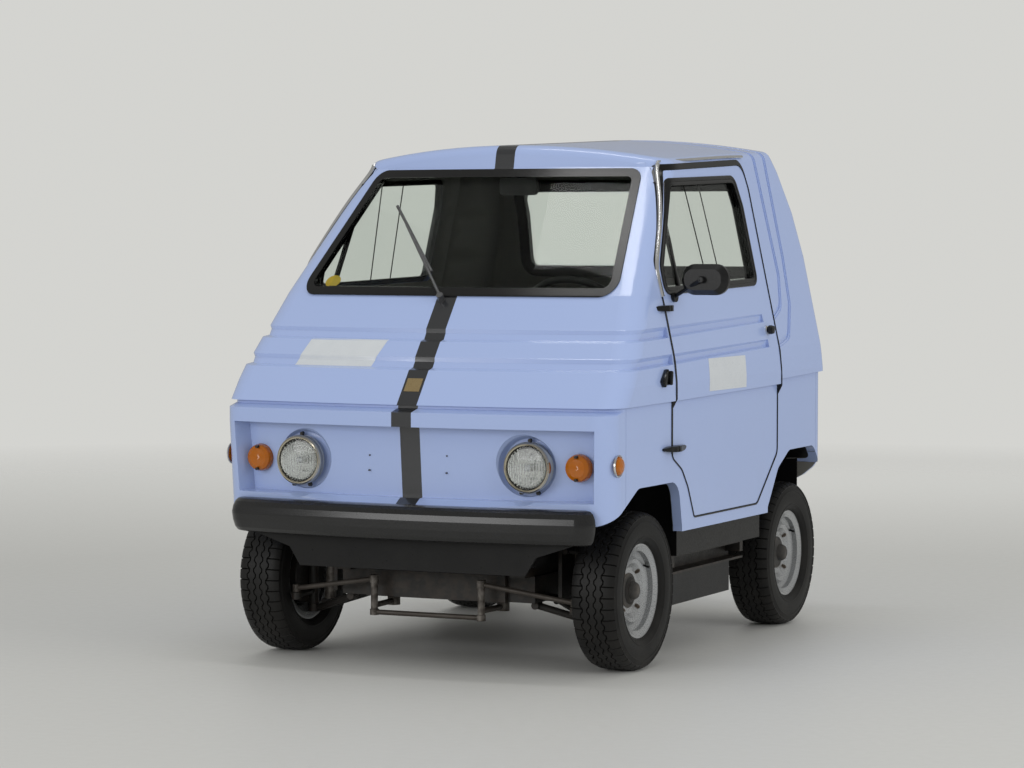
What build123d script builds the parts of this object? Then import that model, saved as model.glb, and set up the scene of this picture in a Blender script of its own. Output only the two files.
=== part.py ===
import os
from math import atan2, cos, radians, sin

from build123d import *

os.makedirs("parts", exist_ok=True)

# Frame: +Z up, -Y is the front of the car, +X is the car's left side.
# The origin is on the ground, on the centre plane, midway between the axles.

# Driving dimensions, in millimetres and degrees
wheelbase = 1300
front_track = 1144
rear_track = 1124
tyre_radius = 243
tyre_width = 145
front_overhang = 368
rear_overhang = 233
belt_half_width = 675
lower_half_width = 660
roof_centre_height = 1624
roof_crown = 116
roof_rise = 0.044
wall = 30
running_gap = 6

# Heights on the body
sill_height = 405
scuttle_height = 1140
screen_top_height = 1540
door_bottom_height = 440
floor_height = 330

# Plan of the body
front_bow = 62
rear_bow = 14
corner_radius = 82
rear_corner_radius = 40

# Doors
door_front = -484
door_rear = 438
door_cut = 496

front_axle = -wheelbase / 2
rear_axle = wheelbase / 2
front_end = front_axle - front_overhang
rear_end = rear_axle + rear_overhang
across = 1600


def level_value(table, z):
    """Value at height z on a line of straight runs."""
    for (z0, v0), (z1, v1) in zip(table, table[1:]):
        if z <= z1:
            return v0 + (v1 - v0) * (z - z0) / (z1 - z0)
    return table[-1][1]


# Upper moulding in side view: height against half width, front and rear
nose_edge = front_end + 42
upper_width = [(780, belt_half_width), (870, belt_half_width), (942, belt_half_width - 7),
               (1700, belt_half_width - 170)]
upper_front = [(780, nose_edge - 30), (818, nose_edge), (917, nose_edge + 79),
               (953, nose_edge + 119), (999, nose_edge + 156), (1038, nose_edge + 194),
               (scuttle_height, nose_edge + 276), (screen_top_height, nose_edge + 679),
               (1700, nose_edge + 714)]
upper_rear = [(780, rear_end), (1250, rear_end), (1400, rear_end - 30),
              (screen_top_height, rear_end - 98), (1700, rear_end - 232)]
upper_levels = [780, 818, 870, 917, 953, 999, 1038, scuttle_height, 1250, 1400,
                screen_top_height, 1700]

# Lower moulding in side view, with the lip over the recessed front panel
lower_width = [(300, lower_half_width), (900, lower_half_width)]
lower_front = [(300, front_end + 36), (506, front_end + 22), (744, front_end), (790, front_end),
               (801, front_end + 46), (900, front_end + 50)]
lower_rear = [(300, rear_end - 5), (900, rear_end - 5)]
lower_levels = [300, 506, 744, 790, 801, 900]


def plan_outline(z, front_y, half_width, rear_y, front_radius, rear_radius):
    """Plan of the body at one height: bowed front and rear, rounded corners."""
    with BuildSketch(Plane.XY.offset(z)) as outline:
        with BuildLine():
            front = ThreePointArc((-half_width, front_y + front_bow), (0, front_y),
                                  (half_width, front_y + front_bow))
            left = Line(front @ 1, (half_width, rear_y - rear_bow))
            rear = ThreePointArc(left @ 1, (0, rear_y), (-half_width, rear_y - rear_bow))
            Line(rear @ 1, front @ 0)
        make_face()
        fillet(outline.vertices().sort_by(Axis.Y)[:2], front_radius)
        fillet(outline.vertices().sort_by(Axis.Y)[-2:], rear_radius)
    return outline.sketch


def form(levels, widths, fronts, rears, side_inset=0, front_inset=0):
    """Plans of a moulding at its levels, drawn in by the given insets."""
    return [plan_outline(z, level_value(fronts, z) + front_inset,
                         level_value(widths, z) - side_inset,
                         level_value(rears, z) - side_inset,
                         max(corner_radius - side_inset, 20),
                         max(rear_corner_radius - side_inset, 20)) for z in levels]


def crown_face(drop):
    """Section under the roof's crown, drawn at the rear and lowered by drop."""
    top = roof_centre_height + roof_rise * across - drop
    with BuildSketch(Plane.XZ.offset(-across)) as crown:
        with BuildLine():
            arc = ThreePointArc((-800, top - roof_crown), (0, top), (800, top - roof_crown))
            Polyline(arc @ 1, (800, 200), (-800, 200), arc @ 0)
        make_face()
    return crown.sketch


def side_prism(points, x_from=-across / 2, x_to=across / 2, radius=None):
    """Solid across the car whose outline is drawn in side view as (y, z) points."""
    with BuildPart() as prism:
        with BuildSketch(Plane.YZ.offset(x_from)) as outline:
            with BuildLine():
                if radius:
                    FilletPolyline(*points, radius=radius, close=True)
                else:
                    Polyline(*points, close=True)
            make_face()
        extrude(amount=x_to - x_from)
    return prism.part


def front_prism(half_sizes, centre, radius, y_from, y_to):
    """Rounded rectangle drawn in front view and run through the car."""
    with BuildPart() as prism:
        with BuildSketch(Plane.XZ.offset(-y_to)):
            with Locations(centre):
                RectangleRounded(2 * half_sizes[0], 2 * half_sizes[1], radius)
        extrude(amount=y_to - y_from)
    return prism.part


def turned(profile, origin, axis):
    """Body turned about an axis; the profile is (radius, distance along the axis)."""
    seat = Plane(origin=origin, z_dir=axis)
    section = Plane(origin=origin, x_dir=seat.x_dir, z_dir=seat.x_dir.cross(seat.z_dir))
    with BuildPart() as body:
        with BuildSketch(section):
            with BuildLine():
                Polyline(*profile, close=True)
            make_face()
        revolve(axis=Axis(origin, axis))
    return body.part


def rod(start, end, radius, bore=0):
    """Round bar or tube between two points."""
    line = Vector(end) - Vector(start)
    with BuildPart() as bar:
        with BuildSketch(Plane(origin=start, z_dir=line)):
            Circle(radius)
            if bore:
                Circle(bore, mode=Mode.SUBTRACT)
        extrude(amount=line.length)
    return bar.part


def block(low, high):
    """Upright box between two corners."""
    with BuildPart() as body:
        with BuildSketch(Plane.XY.offset(low[2])):
            with Locations(((low[0] + high[0]) / 2, (low[1] + high[1]) / 2)):
                Rectangle(high[0] - low[0], high[1] - low[1])
        extrude(amount=high[2] - low[2])
    return body.part


def save(builder, name):
    builder.part.label = name
    export_step(builder.part, f"parts/{name}.step")
    print(name, builder.part.is_valid, len(builder.solids()))


def save_pair(left, name):
    """Write the left piece and its mirror image on the right."""
    for side, shape in (("left", left), ("right", mirror(left, about=Plane.YZ))):
        with BuildPart() as piece:
            add(shape)
        save(piece, f"{name}_{side}")


# Joint line between the two mouldings, in side view
crease = [(-1200, 808), (door_front, 815), (door_rear + running_gap / 2, 830),
          (door_rear + running_gap / 2, 846), (1200, 867)]
above_crease = side_prism(crease + [(1200, 1800), (-1200, 1800)])
below_crease = side_prism(crease + [(1200, 200), (-1200, 200)])

# Upper moulding, outer form with the rolled roof edge
roof_edge_radius = 38
with BuildPart() as upper_outer:
    loft(sections=form(upper_levels, upper_width, upper_front, upper_rear), ruled=True)
    extrude(crown_face(0), amount=2 * across, dir=(0, -1, -roof_rise), mode=Mode.INTERSECT)
    fillet(upper_outer.faces().sort_by(Axis.Z)[-1].edges(), roof_edge_radius)

with BuildPart() as upper_inner:
    loft(sections=form(upper_levels, upper_width, upper_front, upper_rear, wall, wall + 6),
         ruled=True)
    extrude(crown_face(wall), amount=2 * across, dir=(0, -1, -roof_rise), mode=Mode.INTERSECT)

with BuildPart() as lower_outer:
    loft(sections=form(lower_levels, lower_width, lower_front, lower_rear), ruled=True)

with BuildPart() as lower_inner:
    loft(sections=form([280] + lower_levels[1:-1] + [920], lower_width, lower_front, lower_rear,
                       wall, wall + 50), ruled=True)

# Two pressed ribs round the nose and along the doors
rib_top_depth = 13
rib_foot_depth = 18
rib_heights = [(1038, 999), (953, 917)]
rib_slope = 1.8


def rib_band(top, foot):
    """Ring that takes one rib out of the skin: shallow above, deepest at its foot."""
    levels = [foot - 1, foot + 5, (top + foot) / 2 + 4, top + 1]
    insets = [-2, rib_foot_depth, rib_top_depth, -2]
    cut = [form([z], upper_width, upper_front, upper_rear, inset, inset)[0]
           for z, inset in zip(levels, insets)]
    out = form([foot - 1, top + 1], upper_width, upper_front, upper_rear, -40, -40)
    with BuildPart() as band:
        loft(sections=out, ruled=True)
        loft(sections=cut, ruled=True, mode=Mode.SUBTRACT)
    hinge = Axis((0, nose_edge + 170, (top + foot) / 2), (1, 0, 0))
    return band.part.rotate(hinge, rib_slope)


rib_bands = [rib_band(top, foot) for top, foot in rib_heights]

# Door outline in side view, and the window in it
door_outline = [(door_front, 1120), (door_front, 640), (-400, 596), (-352, 540), (-298, 440),
                (250, 440), (door_rear, 600), (door_rear, 1480), (412, 1577), (-240, 1548),
                (-403, 1342), (-497, 1234)]
door_radii = [30, 40, 70, 90, 16, 40, 40, 60, 60, 20, 30, 60]
window_outline = [(-448, 1146), (-448, 1228), (-248, 1498), (318, 1516), (345, 1420),
                  (345, 1165)]


def door_prism(x_from, x_to, grow=0):
    """Door outline run outwards through one side of the body."""
    with BuildPart() as prism:
        with BuildSketch(Plane.YZ.offset(x_from)) as outline:
            with BuildLine():
                Polyline(*door_outline, close=True)
            make_face()
            for corner, radius in zip(door_outline, door_radii):
                fillet(outline.vertices().sort_by_distance(corner)[0], radius)
            if grow:
                offset(amount=grow, kind=Kind.ARC)
        extrude(amount=x_to - x_from)
    return prism.part


def window_prism(x_from, x_to, grow=0):
    with BuildPart() as prism:
        with BuildSketch(Plane.YZ.offset(x_from)) as outline:
            with BuildLine():
                Polyline(*window_outline, close=True)
            make_face()
            fillet(outline.vertices(), 34)
            if grow:
                offset(amount=grow, kind=Kind.ARC)
        extrude(amount=x_to - x_from)
    return prism.part


screen_half_base = 552
screen_half_top = 466
seal_width = 26


def screen_prism(grow):
    """Windscreen opening drawn in front view and run rearwards."""
    with BuildPart() as prism:
        with BuildSketch(Plane.XZ.offset(1100)) as outline:
            with BuildLine():
                Polyline((-screen_half_base, scuttle_height - 4),
                         (screen_half_base, scuttle_height - 4),
                         (screen_half_top, screen_top_height - 4),
                         (-screen_half_top, screen_top_height - 4), close=True)
            make_face()
            fillet(outline.vertices(), 48)
            if grow:
                offset(amount=grow, kind=Kind.ARC)
        extrude(amount=-1200)
    return prism.part


rear_window_size = (470, 165)
rear_window_centre = (0, 1345)


def rear_window_prism(grow):
    return front_prism((rear_window_size[0] + grow, rear_window_size[1] + grow),
                       rear_window_centre, 70 + grow, 500, 1100)


def layer(outer_inset, inner_inset, front_factor=1.4):
    """Skin of the upper moulding between two depths below its surface."""
    with BuildPart() as skin:
        loft(sections=form(upper_levels, upper_width, upper_front, upper_rear,
                           outer_inset, outer_inset * front_factor), ruled=True)
        loft(sections=form(upper_levels, upper_width, upper_front, upper_rear,
                           inner_inset, inner_inset * front_factor), ruled=True,
             mode=Mode.SUBTRACT)
    return skin.part


doors_left = door_prism(door_cut, 900)
doors_right = mirror(doors_left, about=Plane.YZ)
fender_zone = side_prism([(-1200, 700), (door_front - 9, 700), (door_front - 9, 1200),
                          (-1200, 1200)])
door_rib_zone = side_prism([(door_front + 16, 880), (355, 880), (330, 1120),
                            (door_front + 16, 1120)])

# Two grooves behind each door, over the roof and curling forward below the window line
groove_steps = [(24, 3.5), (12, 8)]
groove_zone = side_prism([(door_rear + 4, 900), (door_rear + 4, 1900), (800, 1900), (800, 900)])
groove_lines = [
    ([(524, 1900), (561, 1190), (522, 1085), (420, 1045), (-500, 1045), (-500, 1900)], 1, 2),
    ([(640, 1900), (634, 1250), (613, 1094), (545, 985), (420, 957), (-500, 957), (-500, 1900)],
     2, 4),
]


def groove_ring(points, first_bend, last_bend, width):
    """Closed band of one width in side view, run across the car."""
    with BuildPart() as ring:
        with BuildSketch(Plane.YZ.offset(-across / 2)) as outline:
            with BuildLine():
                Polyline(*points, close=True)
            make_face()
            for corner in points[first_bend:last_bend + 1]:
                fillet(outline.vertices().sort_by_distance(corner)[0], 48)
            inner = offset(outline.sketch_local, amount=-width / 2, mode=Mode.PRIVATE)
            offset(amount=width / 2)
            add(inner, mode=Mode.SUBTRACT)
        extrude(amount=across)
    return ring.part


def sunk_form(depth):
    """Upper moulding drawn in all round by one depth, with the rolled roof edge."""
    with BuildPart() as sunk:
        loft(sections=form(upper_levels, upper_width, upper_front, upper_rear, depth, depth),
             ruled=True)
        extrude(crown_face(depth), amount=2 * across, dir=(0, -1, -roof_rise), mode=Mode.INTERSECT)
        fillet(sunk.faces().sort_by(Axis.Z)[-1].edges(), roof_edge_radius - 1.25 * depth)
    return sunk.part


with BuildPart() as grooves:
    for groove_width, depth in groove_steps:
        floor_form = sunk_form(depth)
        for line in groove_lines:
            add((groove_ring(*line, groove_width) & groove_zone) - floor_form)

# Upper body: nose, pillars and roof in one moulding
with BuildPart() as upper_body:
    add(upper_outer.part)
    add(above_crease, mode=Mode.INTERSECT)
    add(upper_inner.part, mode=Mode.SUBTRACT)
    add(doors_left, mode=Mode.SUBTRACT)
    add(doors_right, mode=Mode.SUBTRACT)
    add(screen_prism(-seal_width / 2), mode=Mode.SUBTRACT)
    add(rear_window_prism(-seal_width / 2), mode=Mode.SUBTRACT)
    for band in rib_bands:
        add(band & fender_zone, mode=Mode.SUBTRACT)
    add(grooves.part, mode=Mode.SUBTRACT)
save(upper_body, "upper_body")

# Wheel arches in side view
front_arch = [(-388, 250), (-394, 420), (-424, 563), (-738, 563), (-965, 448), (-1200, 448),
              (-1200, 250)]
rear_arch = [(346, 250), (352, 424), (448, 548), (552, 602), (786, 604), (848, 540), (848, 250)]
tail_line = [(-700, 200), (-700, 560), (-655, 550), (-635, 525), (-600, 497), (-545, 468),
             (545, 468), (600, 497), (635, 525), (655, 550), (700, 560), (700, 200)]
seam_front = front_axle - 186
seam_rear = rear_axle + 158
recess_half_width = 614
recess_top = 746
recess_foot = 515
recess_depth = 56
lamp_x = 389
lamp_z = 630
lamp_radius = 78


def arch_prism(points, rounded, radius):
    """Wheel arch in side view with its upper corners rounded, run across the car."""
    with BuildPart() as prism:
        with BuildSketch(Plane.YZ.offset(-across / 2)) as outline:
            with BuildLine():
                Polyline(*points, close=True)
            make_face()
            for corner in rounded:
                fillet(outline.vertices().sort_by_distance(points[corner])[0], radius)
        extrude(amount=across)
    return prism.part


with BuildPart() as lower_shell:
    add(lower_outer.part)
    add(below_crease, mode=Mode.INTERSECT)
    add(lower_inner.part, mode=Mode.SUBTRACT)
    add(arch_prism(front_arch, (2, 3), 66), mode=Mode.SUBTRACT)
    add(arch_prism(rear_arch, (2, 3, 4), 54), mode=Mode.SUBTRACT)
    with BuildSketch(Plane.XZ.offset(-1200)):
        with BuildLine():
            Polyline(*tail_line, close=True)
        make_face()
    extrude(amount=1200 - 846, mode=Mode.SUBTRACT)
    add(side_prism([(-1200, 200), (-1200, sill_height), (1200, sill_height), (1200, 200)]),
        mode=Mode.SUBTRACT)
    add(doors_left, mode=Mode.SUBTRACT)
    add(doors_right, mode=Mode.SUBTRACT)


# Front panel: recessed between lip and fender edges, with a round bowl for each headlamp
with BuildPart() as recess_floor:
    loft(sections=form(lower_levels[1:4], lower_width, lower_front, lower_rear,
                       22, recess_depth), ruled=True)
recess_draft = 0.48
recess_side = [(-1200, 500), (front_end + 22, recess_foot - 9), (front_end + 59, recess_foot + 12),
               (-700, recess_foot + 34), (-700, recess_top), (-1200, recess_top)]
with BuildPart() as recess_cut:
    with BuildSketch(Plane.XY.offset(400)):
        with BuildLine():
            mouth = recess_half_width + recess_draft * (1200 + front_end + 54)
            back = recess_half_width - recess_draft * (-front_end - 54 - 700)
            Polyline((-mouth, -1200), (mouth, -1200), (back, -700), (-back, -700), close=True)
        make_face()
    extrude(amount=500)
    add(side_prism(recess_side), mode=Mode.INTERSECT)
with BuildPart() as recess:
    add(lower_outer.part)
    add(recess_cut.part, mode=Mode.INTERSECT)
    add(recess_floor.part, mode=Mode.SUBTRACT)

bowl_depth = 34
bowl_front = front_end + 70
lamp_seat = bowl_front + bowl_depth
bowls = []
bosses = []
for side in (-1, 1):
    mouth = (side * (lamp_x - 8), bowl_front - 30, lamp_z)
    bowls.append(turned([(0, 0), (lamp_radius + 36, 0), (lamp_radius + 24, 36),
                         (lamp_radius + 17, 43), (lamp_radius + 12, bowl_depth + 22),
                         (lamp_radius + 8, bowl_depth + 30), (0, bowl_depth + 30)],
                        mouth, (0, 1, 0)))
    bosses.append(turned([(0, 0), (lamp_radius + 44, 0), (lamp_radius + 24, bowl_depth + 46),
                          (0, bowl_depth + 46)], mouth, (0, 1, 0)))

with BuildPart() as front_panel:
    add(lower_shell.part)
    add(side_prism([(-1200, 200), (seam_front, 200), (seam_front, 900), (-1200, 900)]),
        mode=Mode.INTERSECT)
    add(recess.part, mode=Mode.SUBTRACT)
    for boss in bosses:
        add(boss & recess_floor.part)
    for bowl in bowls:
        add(bowl, mode=Mode.SUBTRACT)
save(front_panel, "front_panel")

seam_gap = 1.5
with BuildPart() as rear_panel:
    add(lower_shell.part)
    add(side_prism([(seam_rear + seam_gap, 200), (1200, 200), (1200, 900),
                    (seam_rear + seam_gap, 900)]), mode=Mode.INTERSECT)
save(rear_panel, "rear_panel")

with BuildPart() as side_panels:
    add(lower_shell.part)
    add(side_prism([(seam_front + seam_gap, 200), (seam_rear, 200), (seam_rear, 900),
                    (seam_front + seam_gap, 900)]), mode=Mode.INTERSECT)
save(side_panels, "side_panels")

# Doors, one shell each with the belt step and closed ribs
front_gap = 11
top_gap = 20
with BuildPart() as door_shape:
    add(door_prism(door_cut, 900, -running_gap))
    add(door_prism(door_cut, 900, -running_gap).moved(
        Location((0, front_gap - running_gap, running_gap - top_gap))), mode=Mode.INTERSECT)
with BuildPart() as door_left:
    add(upper_outer.part)
    add(above_crease, mode=Mode.INTERSECT)
    add(upper_inner.part, mode=Mode.SUBTRACT)
    add((lower_outer.part & below_crease) - lower_inner.part)
    add(door_shape.part, mode=Mode.INTERSECT)
    add(window_prism(300, 900), mode=Mode.SUBTRACT)
    for band in rib_bands:
        add(band & door_rib_zone, mode=Mode.SUBTRACT)
save_pair(door_left.part, "door")

# Glass and its rubber frames
seal_lip = 4
seal_depth = 22
glass_depth = 10
glass_thickness = 5
glass_layer = layer(glass_depth, glass_depth + glass_thickness)
seal_layer = layer(-seal_lip, seal_depth)
screen_zone = side_prism([(-1200, 900), (0, 900), (0, 1700), (-1200, 1700)])
with BuildPart() as fixed_windows:
    add(glass_layer & screen_prism(-seal_width + 8) & screen_zone)
    add(glass_layer & rear_window_prism(-seal_width + 8))
save(fixed_windows, "fixed_windows")
with BuildPart() as window_seals:
    add((seal_layer & screen_prism(0) & screen_zone) - screen_prism(-seal_width))
    add((seal_layer & rear_window_prism(0)) - rear_window_prism(-seal_width))
    add(fixed_windows.part, mode=Mode.SUBTRACT)
    add(upper_body.part, mode=Mode.SUBTRACT)
save(window_seals, "window_seals")
with BuildPart() as door_window:
    add(glass_layer & window_prism(300, 900))
save_pair(door_window.part, "door_window")

# Bumpers: a rubber bar with a raised middle line, wrapped round the front corners
bumper_half_width = 617
bumper_front = front_end - 47
bumper_levels = [(405, 32), (409, 19), (420, 10), (442, 3), (462, 0), (468, 0), (486, 4),
                 (500, 12), (508, 22), (511, 34)]
rear_bumper_half_width = 440
rear_bumper_front = rear_end - 33
rear_bumper_back = rear_end + 2

bumper_sections = [plan_outline(z, bumper_front + inset, bumper_half_width - inset / 2, 400, 58, 20)
                   for z, inset in bumper_levels]
with BuildPart() as front_bar:
    loft(sections=bumper_sections, ruled=True)
    add(side_prism([(-1200, 300), (front_end + 58, 300), (front_end + 58, 600), (-1200, 600)]),
        mode=Mode.INTERSECT)
    add(lower_outer.part, mode=Mode.SUBTRACT)
with BuildPart() as rear_bar:
    with BuildSketch(Plane.XY.offset(380)):
        with Locations((0, rear_bumper_back - 80)):
            RectangleRounded(2 * rear_bumper_half_width, 160, 30)
    extrude(amount=100)
    add(side_prism([(rear_bumper_front, 460), (rear_bumper_back - 16, 460),
                    (rear_bumper_back - 4, 452), (rear_bumper_back, 430),
                    (rear_bumper_back - 4, 406), (rear_bumper_back - 16, 396),
                    (rear_bumper_front, 396)]), mode=Mode.INTERSECT)
with BuildPart() as bumpers:
    add(front_bar.part)
    add(rear_bar.part)
save(bumpers, "bumpers")

# Headlamps standing in their bowls
lamp_plane = lamp_seat - 16
with BuildPart() as headlamp_rims:
    for side in (-1, 1):
        add(turned([(lamp_radius - 10, -14), (lamp_radius - 2, -12), (lamp_radius, 0),
                    (lamp_radius, 10), (lamp_radius - 4, 16), (lamp_radius - 24, 16),
                    (lamp_radius - 24, 10), (lamp_radius - 6, 8), (lamp_radius - 10, 0)],
                   (side * lamp_x, lamp_plane, lamp_z), (0, 1, 0)))
save(headlamp_rims, "headlamp_rims")
lens_radius = lamp_radius - 10.3
with BuildPart() as headlamp_lenses:
    for side in (-1, 1):
        add(turned([(0, -33), (lens_radius - 24, -29), (lens_radius - 8, -20),
                    (lens_radius, -8), (lens_radius, 0), (0, 0)],
                   (side * lamp_x, lamp_plane, lamp_z), (0, 1, 0)))
save(headlamp_lenses, "headlamp_lenses")

# Signal lamps: two in front, one on each flank, two pairs at the rear
indicator_x = 544
indicator_z = 632
indicator_radius = 43
indicator_seat = front_end + recess_depth + front_bow * (indicator_x / lower_half_width) ** 2
repeater_y = front_end + 128
tail_lamp_x = 540
tail_lamp_heights = (650, 745)
with BuildPart() as front_signals:
    for side in (-1, 1):
        add(turned([(0, -20), (indicator_radius - 16, -18), (indicator_radius - 5, -13),
                    (indicator_radius - 2, -7), (indicator_radius, 6), (0, 6)],
                   (side * indicator_x, indicator_seat, indicator_z), (0, 1, 0)))
    add(recess_floor.part, mode=Mode.SUBTRACT)
with BuildPart() as tail_signals:
    for side in (-1, 1):
        for z in tail_lamp_heights:
            add(turned([(0, 24), (28, 20), (38, 8), (40, -20), (0, -20)],
                       (side * tail_lamp_x, rear_end - 18, z), (0, 1, 0)))
    add(lower_outer.part, mode=Mode.SUBTRACT)
with BuildPart() as signal_lamps:
    add(front_signals.part)
    add(tail_signals.part)
    for side in (-1, 1):
        add(turned([(0, 14), (20, 11), (27, 5), (29, 0), (0, 0)],
                   (side * lower_half_width, repeater_y, 640), (side, 0, 0)))
save(signal_lamps, "signal_lamps")

# Wheels: pressed steel rims with round centres, and tyres
rim_radius = 144
rim_half_width = 54
bead_radius = 127
hub_bore = 46
disc_face = 12


def rim_part(x, y, side):
    return turned([(rim_radius, -rim_half_width), (rim_radius, -rim_half_width + 4),
                   (bead_radius + 2, -rim_half_width + 8), (bead_radius, -rim_half_width + 24),
                   (bead_radius - 16, -14), (bead_radius - 16, 8), (bead_radius, 26),
                   (bead_radius, rim_half_width - 10), (rim_radius - 2, rim_half_width - 4),
                   (rim_radius, rim_half_width), (rim_radius - 5, rim_half_width),
                   (bead_radius - 5, rim_half_width - 8), (bead_radius - 5, 30),
                   (bead_radius - 20, 22), (96, 34), (84, 30), (70, disc_face + 6),
                   (hub_bore, disc_face + 4), (hub_bore, disc_face), (72, disc_face),
                   (86, 24), (96, 28), (bead_radius - 21, 10),
                   (bead_radius - 21, -14), (bead_radius - 5, -32),
                   (bead_radius - 5, -rim_half_width + 6),
                   (rim_radius - 5, -rim_half_width)], (x, y, tyre_radius), (side, 0, 0))


def tyre_part(x, y, side):
    half = tyre_width / 2
    shoulder = tyre_radius - 14
    origin = Vector(x, y, tyre_radius)
    with BuildPart() as tyre:
        with BuildSketch(Plane(origin=origin, x_dir=(0, 0, 1), z_dir=(0, side, 0))):
            with BuildLine():
                tread = Line((tyre_radius, -half + 22), (tyre_radius, half - 22))
                outer_wall = ThreePointArc(tread @ 1, (tyre_radius - 7, half - 8),
                                           (shoulder - 6, half - 3))
                outer_side = ThreePointArc(outer_wall @ 1, (tyre_radius - 58, half),
                                           (rim_radius, rim_half_width - 5))
                bead = Polyline(outer_side @ 1, (bead_radius + 2, rim_half_width - 12),
                                (bead_radius + 2, -rim_half_width + 12),
                                (rim_radius, -rim_half_width + 5))
                inner_side = ThreePointArc(bead @ 1, (tyre_radius - 58, -half),
                                           (shoulder - 6, -half + 3))
                ThreePointArc(inner_side @ 1, (tyre_radius - 7, -half + 8), tread @ 0)
            make_face()
        revolve(axis=Axis(origin, (1, 0, 0)))
    return tyre.part


wheel_places = {
    "front_left": (front_track / 2, front_axle, 1),
    "front_right": (-front_track / 2, front_axle, -1),
    "rear_left": (rear_track / 2, rear_axle, 1),
    "rear_right": (-rear_track / 2, rear_axle, -1),
}
for place, (x, y, side) in wheel_places.items():
    with BuildPart() as rim:
        add(rim_part(x, y, side))
    save(rim, f"rim_{place}")
    with BuildPart() as tyre:
        add(tyre_part(x, y, side))
        add(rim.part, mode=Mode.SUBTRACT)
    save(tyre, f"tyre_{place}")

# Front knuckles, turning about upright kingpins just inside the wheels
kingpin_x = 505
kingpin_low = 150
kingpin_high = 338
kingpin_radius = 17
spindle_radius = 14
drum_radius = 92
arm_ball = Vector(480, front_axle - 156, 190)
hub_centre = Vector(kingpin_x, front_axle, tyre_radius)
with BuildPart() as knuckle:
    add(rod((kingpin_x, front_axle, kingpin_low), (kingpin_x, front_axle, kingpin_high),
            kingpin_radius))
    add(rod(hub_centre, hub_centre + Vector(front_track / 2 + 8 - kingpin_x, 0, 0),
            spindle_radius))
    add(turned([(spindle_radius - 1, 12), (drum_radius - 2, 12), (drum_radius, 16),
                (drum_radius, 58), (drum_radius - 8, 64), (42, 66), (42, 92), (34, 98),
                (spindle_radius - 1, 98)], hub_centre, (1, 0, 0)))
    add(rod((kingpin_x, front_axle, arm_ball.Z), arm_ball, 9))
    add(rod(arm_ball - Vector(0, 0, 11), arm_ball + Vector(0, 0, 11), 15))
save_pair(knuckle.part, "knuckle")

# Steering linkage: two idlers joined by a centre link, and a track rod to each knuckle
idler_pivot = Vector(190, front_axle - 50, 179)
link_ball = Vector(184, front_axle - 192, 179)
rod_eye_height = 261
with BuildPart() as idler:
    add(rod(idler_pivot - Vector(0, 0, 13), idler_pivot + Vector(0, 0, 13), 20))
    add(rod(idler_pivot, link_ball, 9))
    add(rod(link_ball - Vector(0, 0, 11), (link_ball.X, link_ball.Y, rod_eye_height - 13), 11))
save_pair(idler.part, "idler")
link_height = link_ball.Z - 21
with BuildPart() as centre_link:
    for side in (-1, 1):
        add(rod((side * link_ball.X, link_ball.Y, link_height - 9),
                (side * link_ball.X, link_ball.Y, link_height + 9), 14))
    add(rod((-link_ball.X, link_ball.Y, link_height), (link_ball.X, link_ball.Y, link_height), 8))
save(centre_link, "centre_link")
with BuildPart() as track_rod:
    inner_eye = Vector(link_ball.X, link_ball.Y, rod_eye_height)
    outer_eye = Vector(arm_ball.X, arm_ball.Y, arm_ball.Z + 24)
    add(rod(inner_eye - Vector(0, 0, 12), inner_eye + Vector(0, 0, 12), 14))
    add(rod(inner_eye, outer_eye, 8))
    add(rod(outer_eye - Vector(0, 0, 11), outer_eye + Vector(0, 0, 12), 12))
save_pair(track_rod.part, "track_rod")

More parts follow.
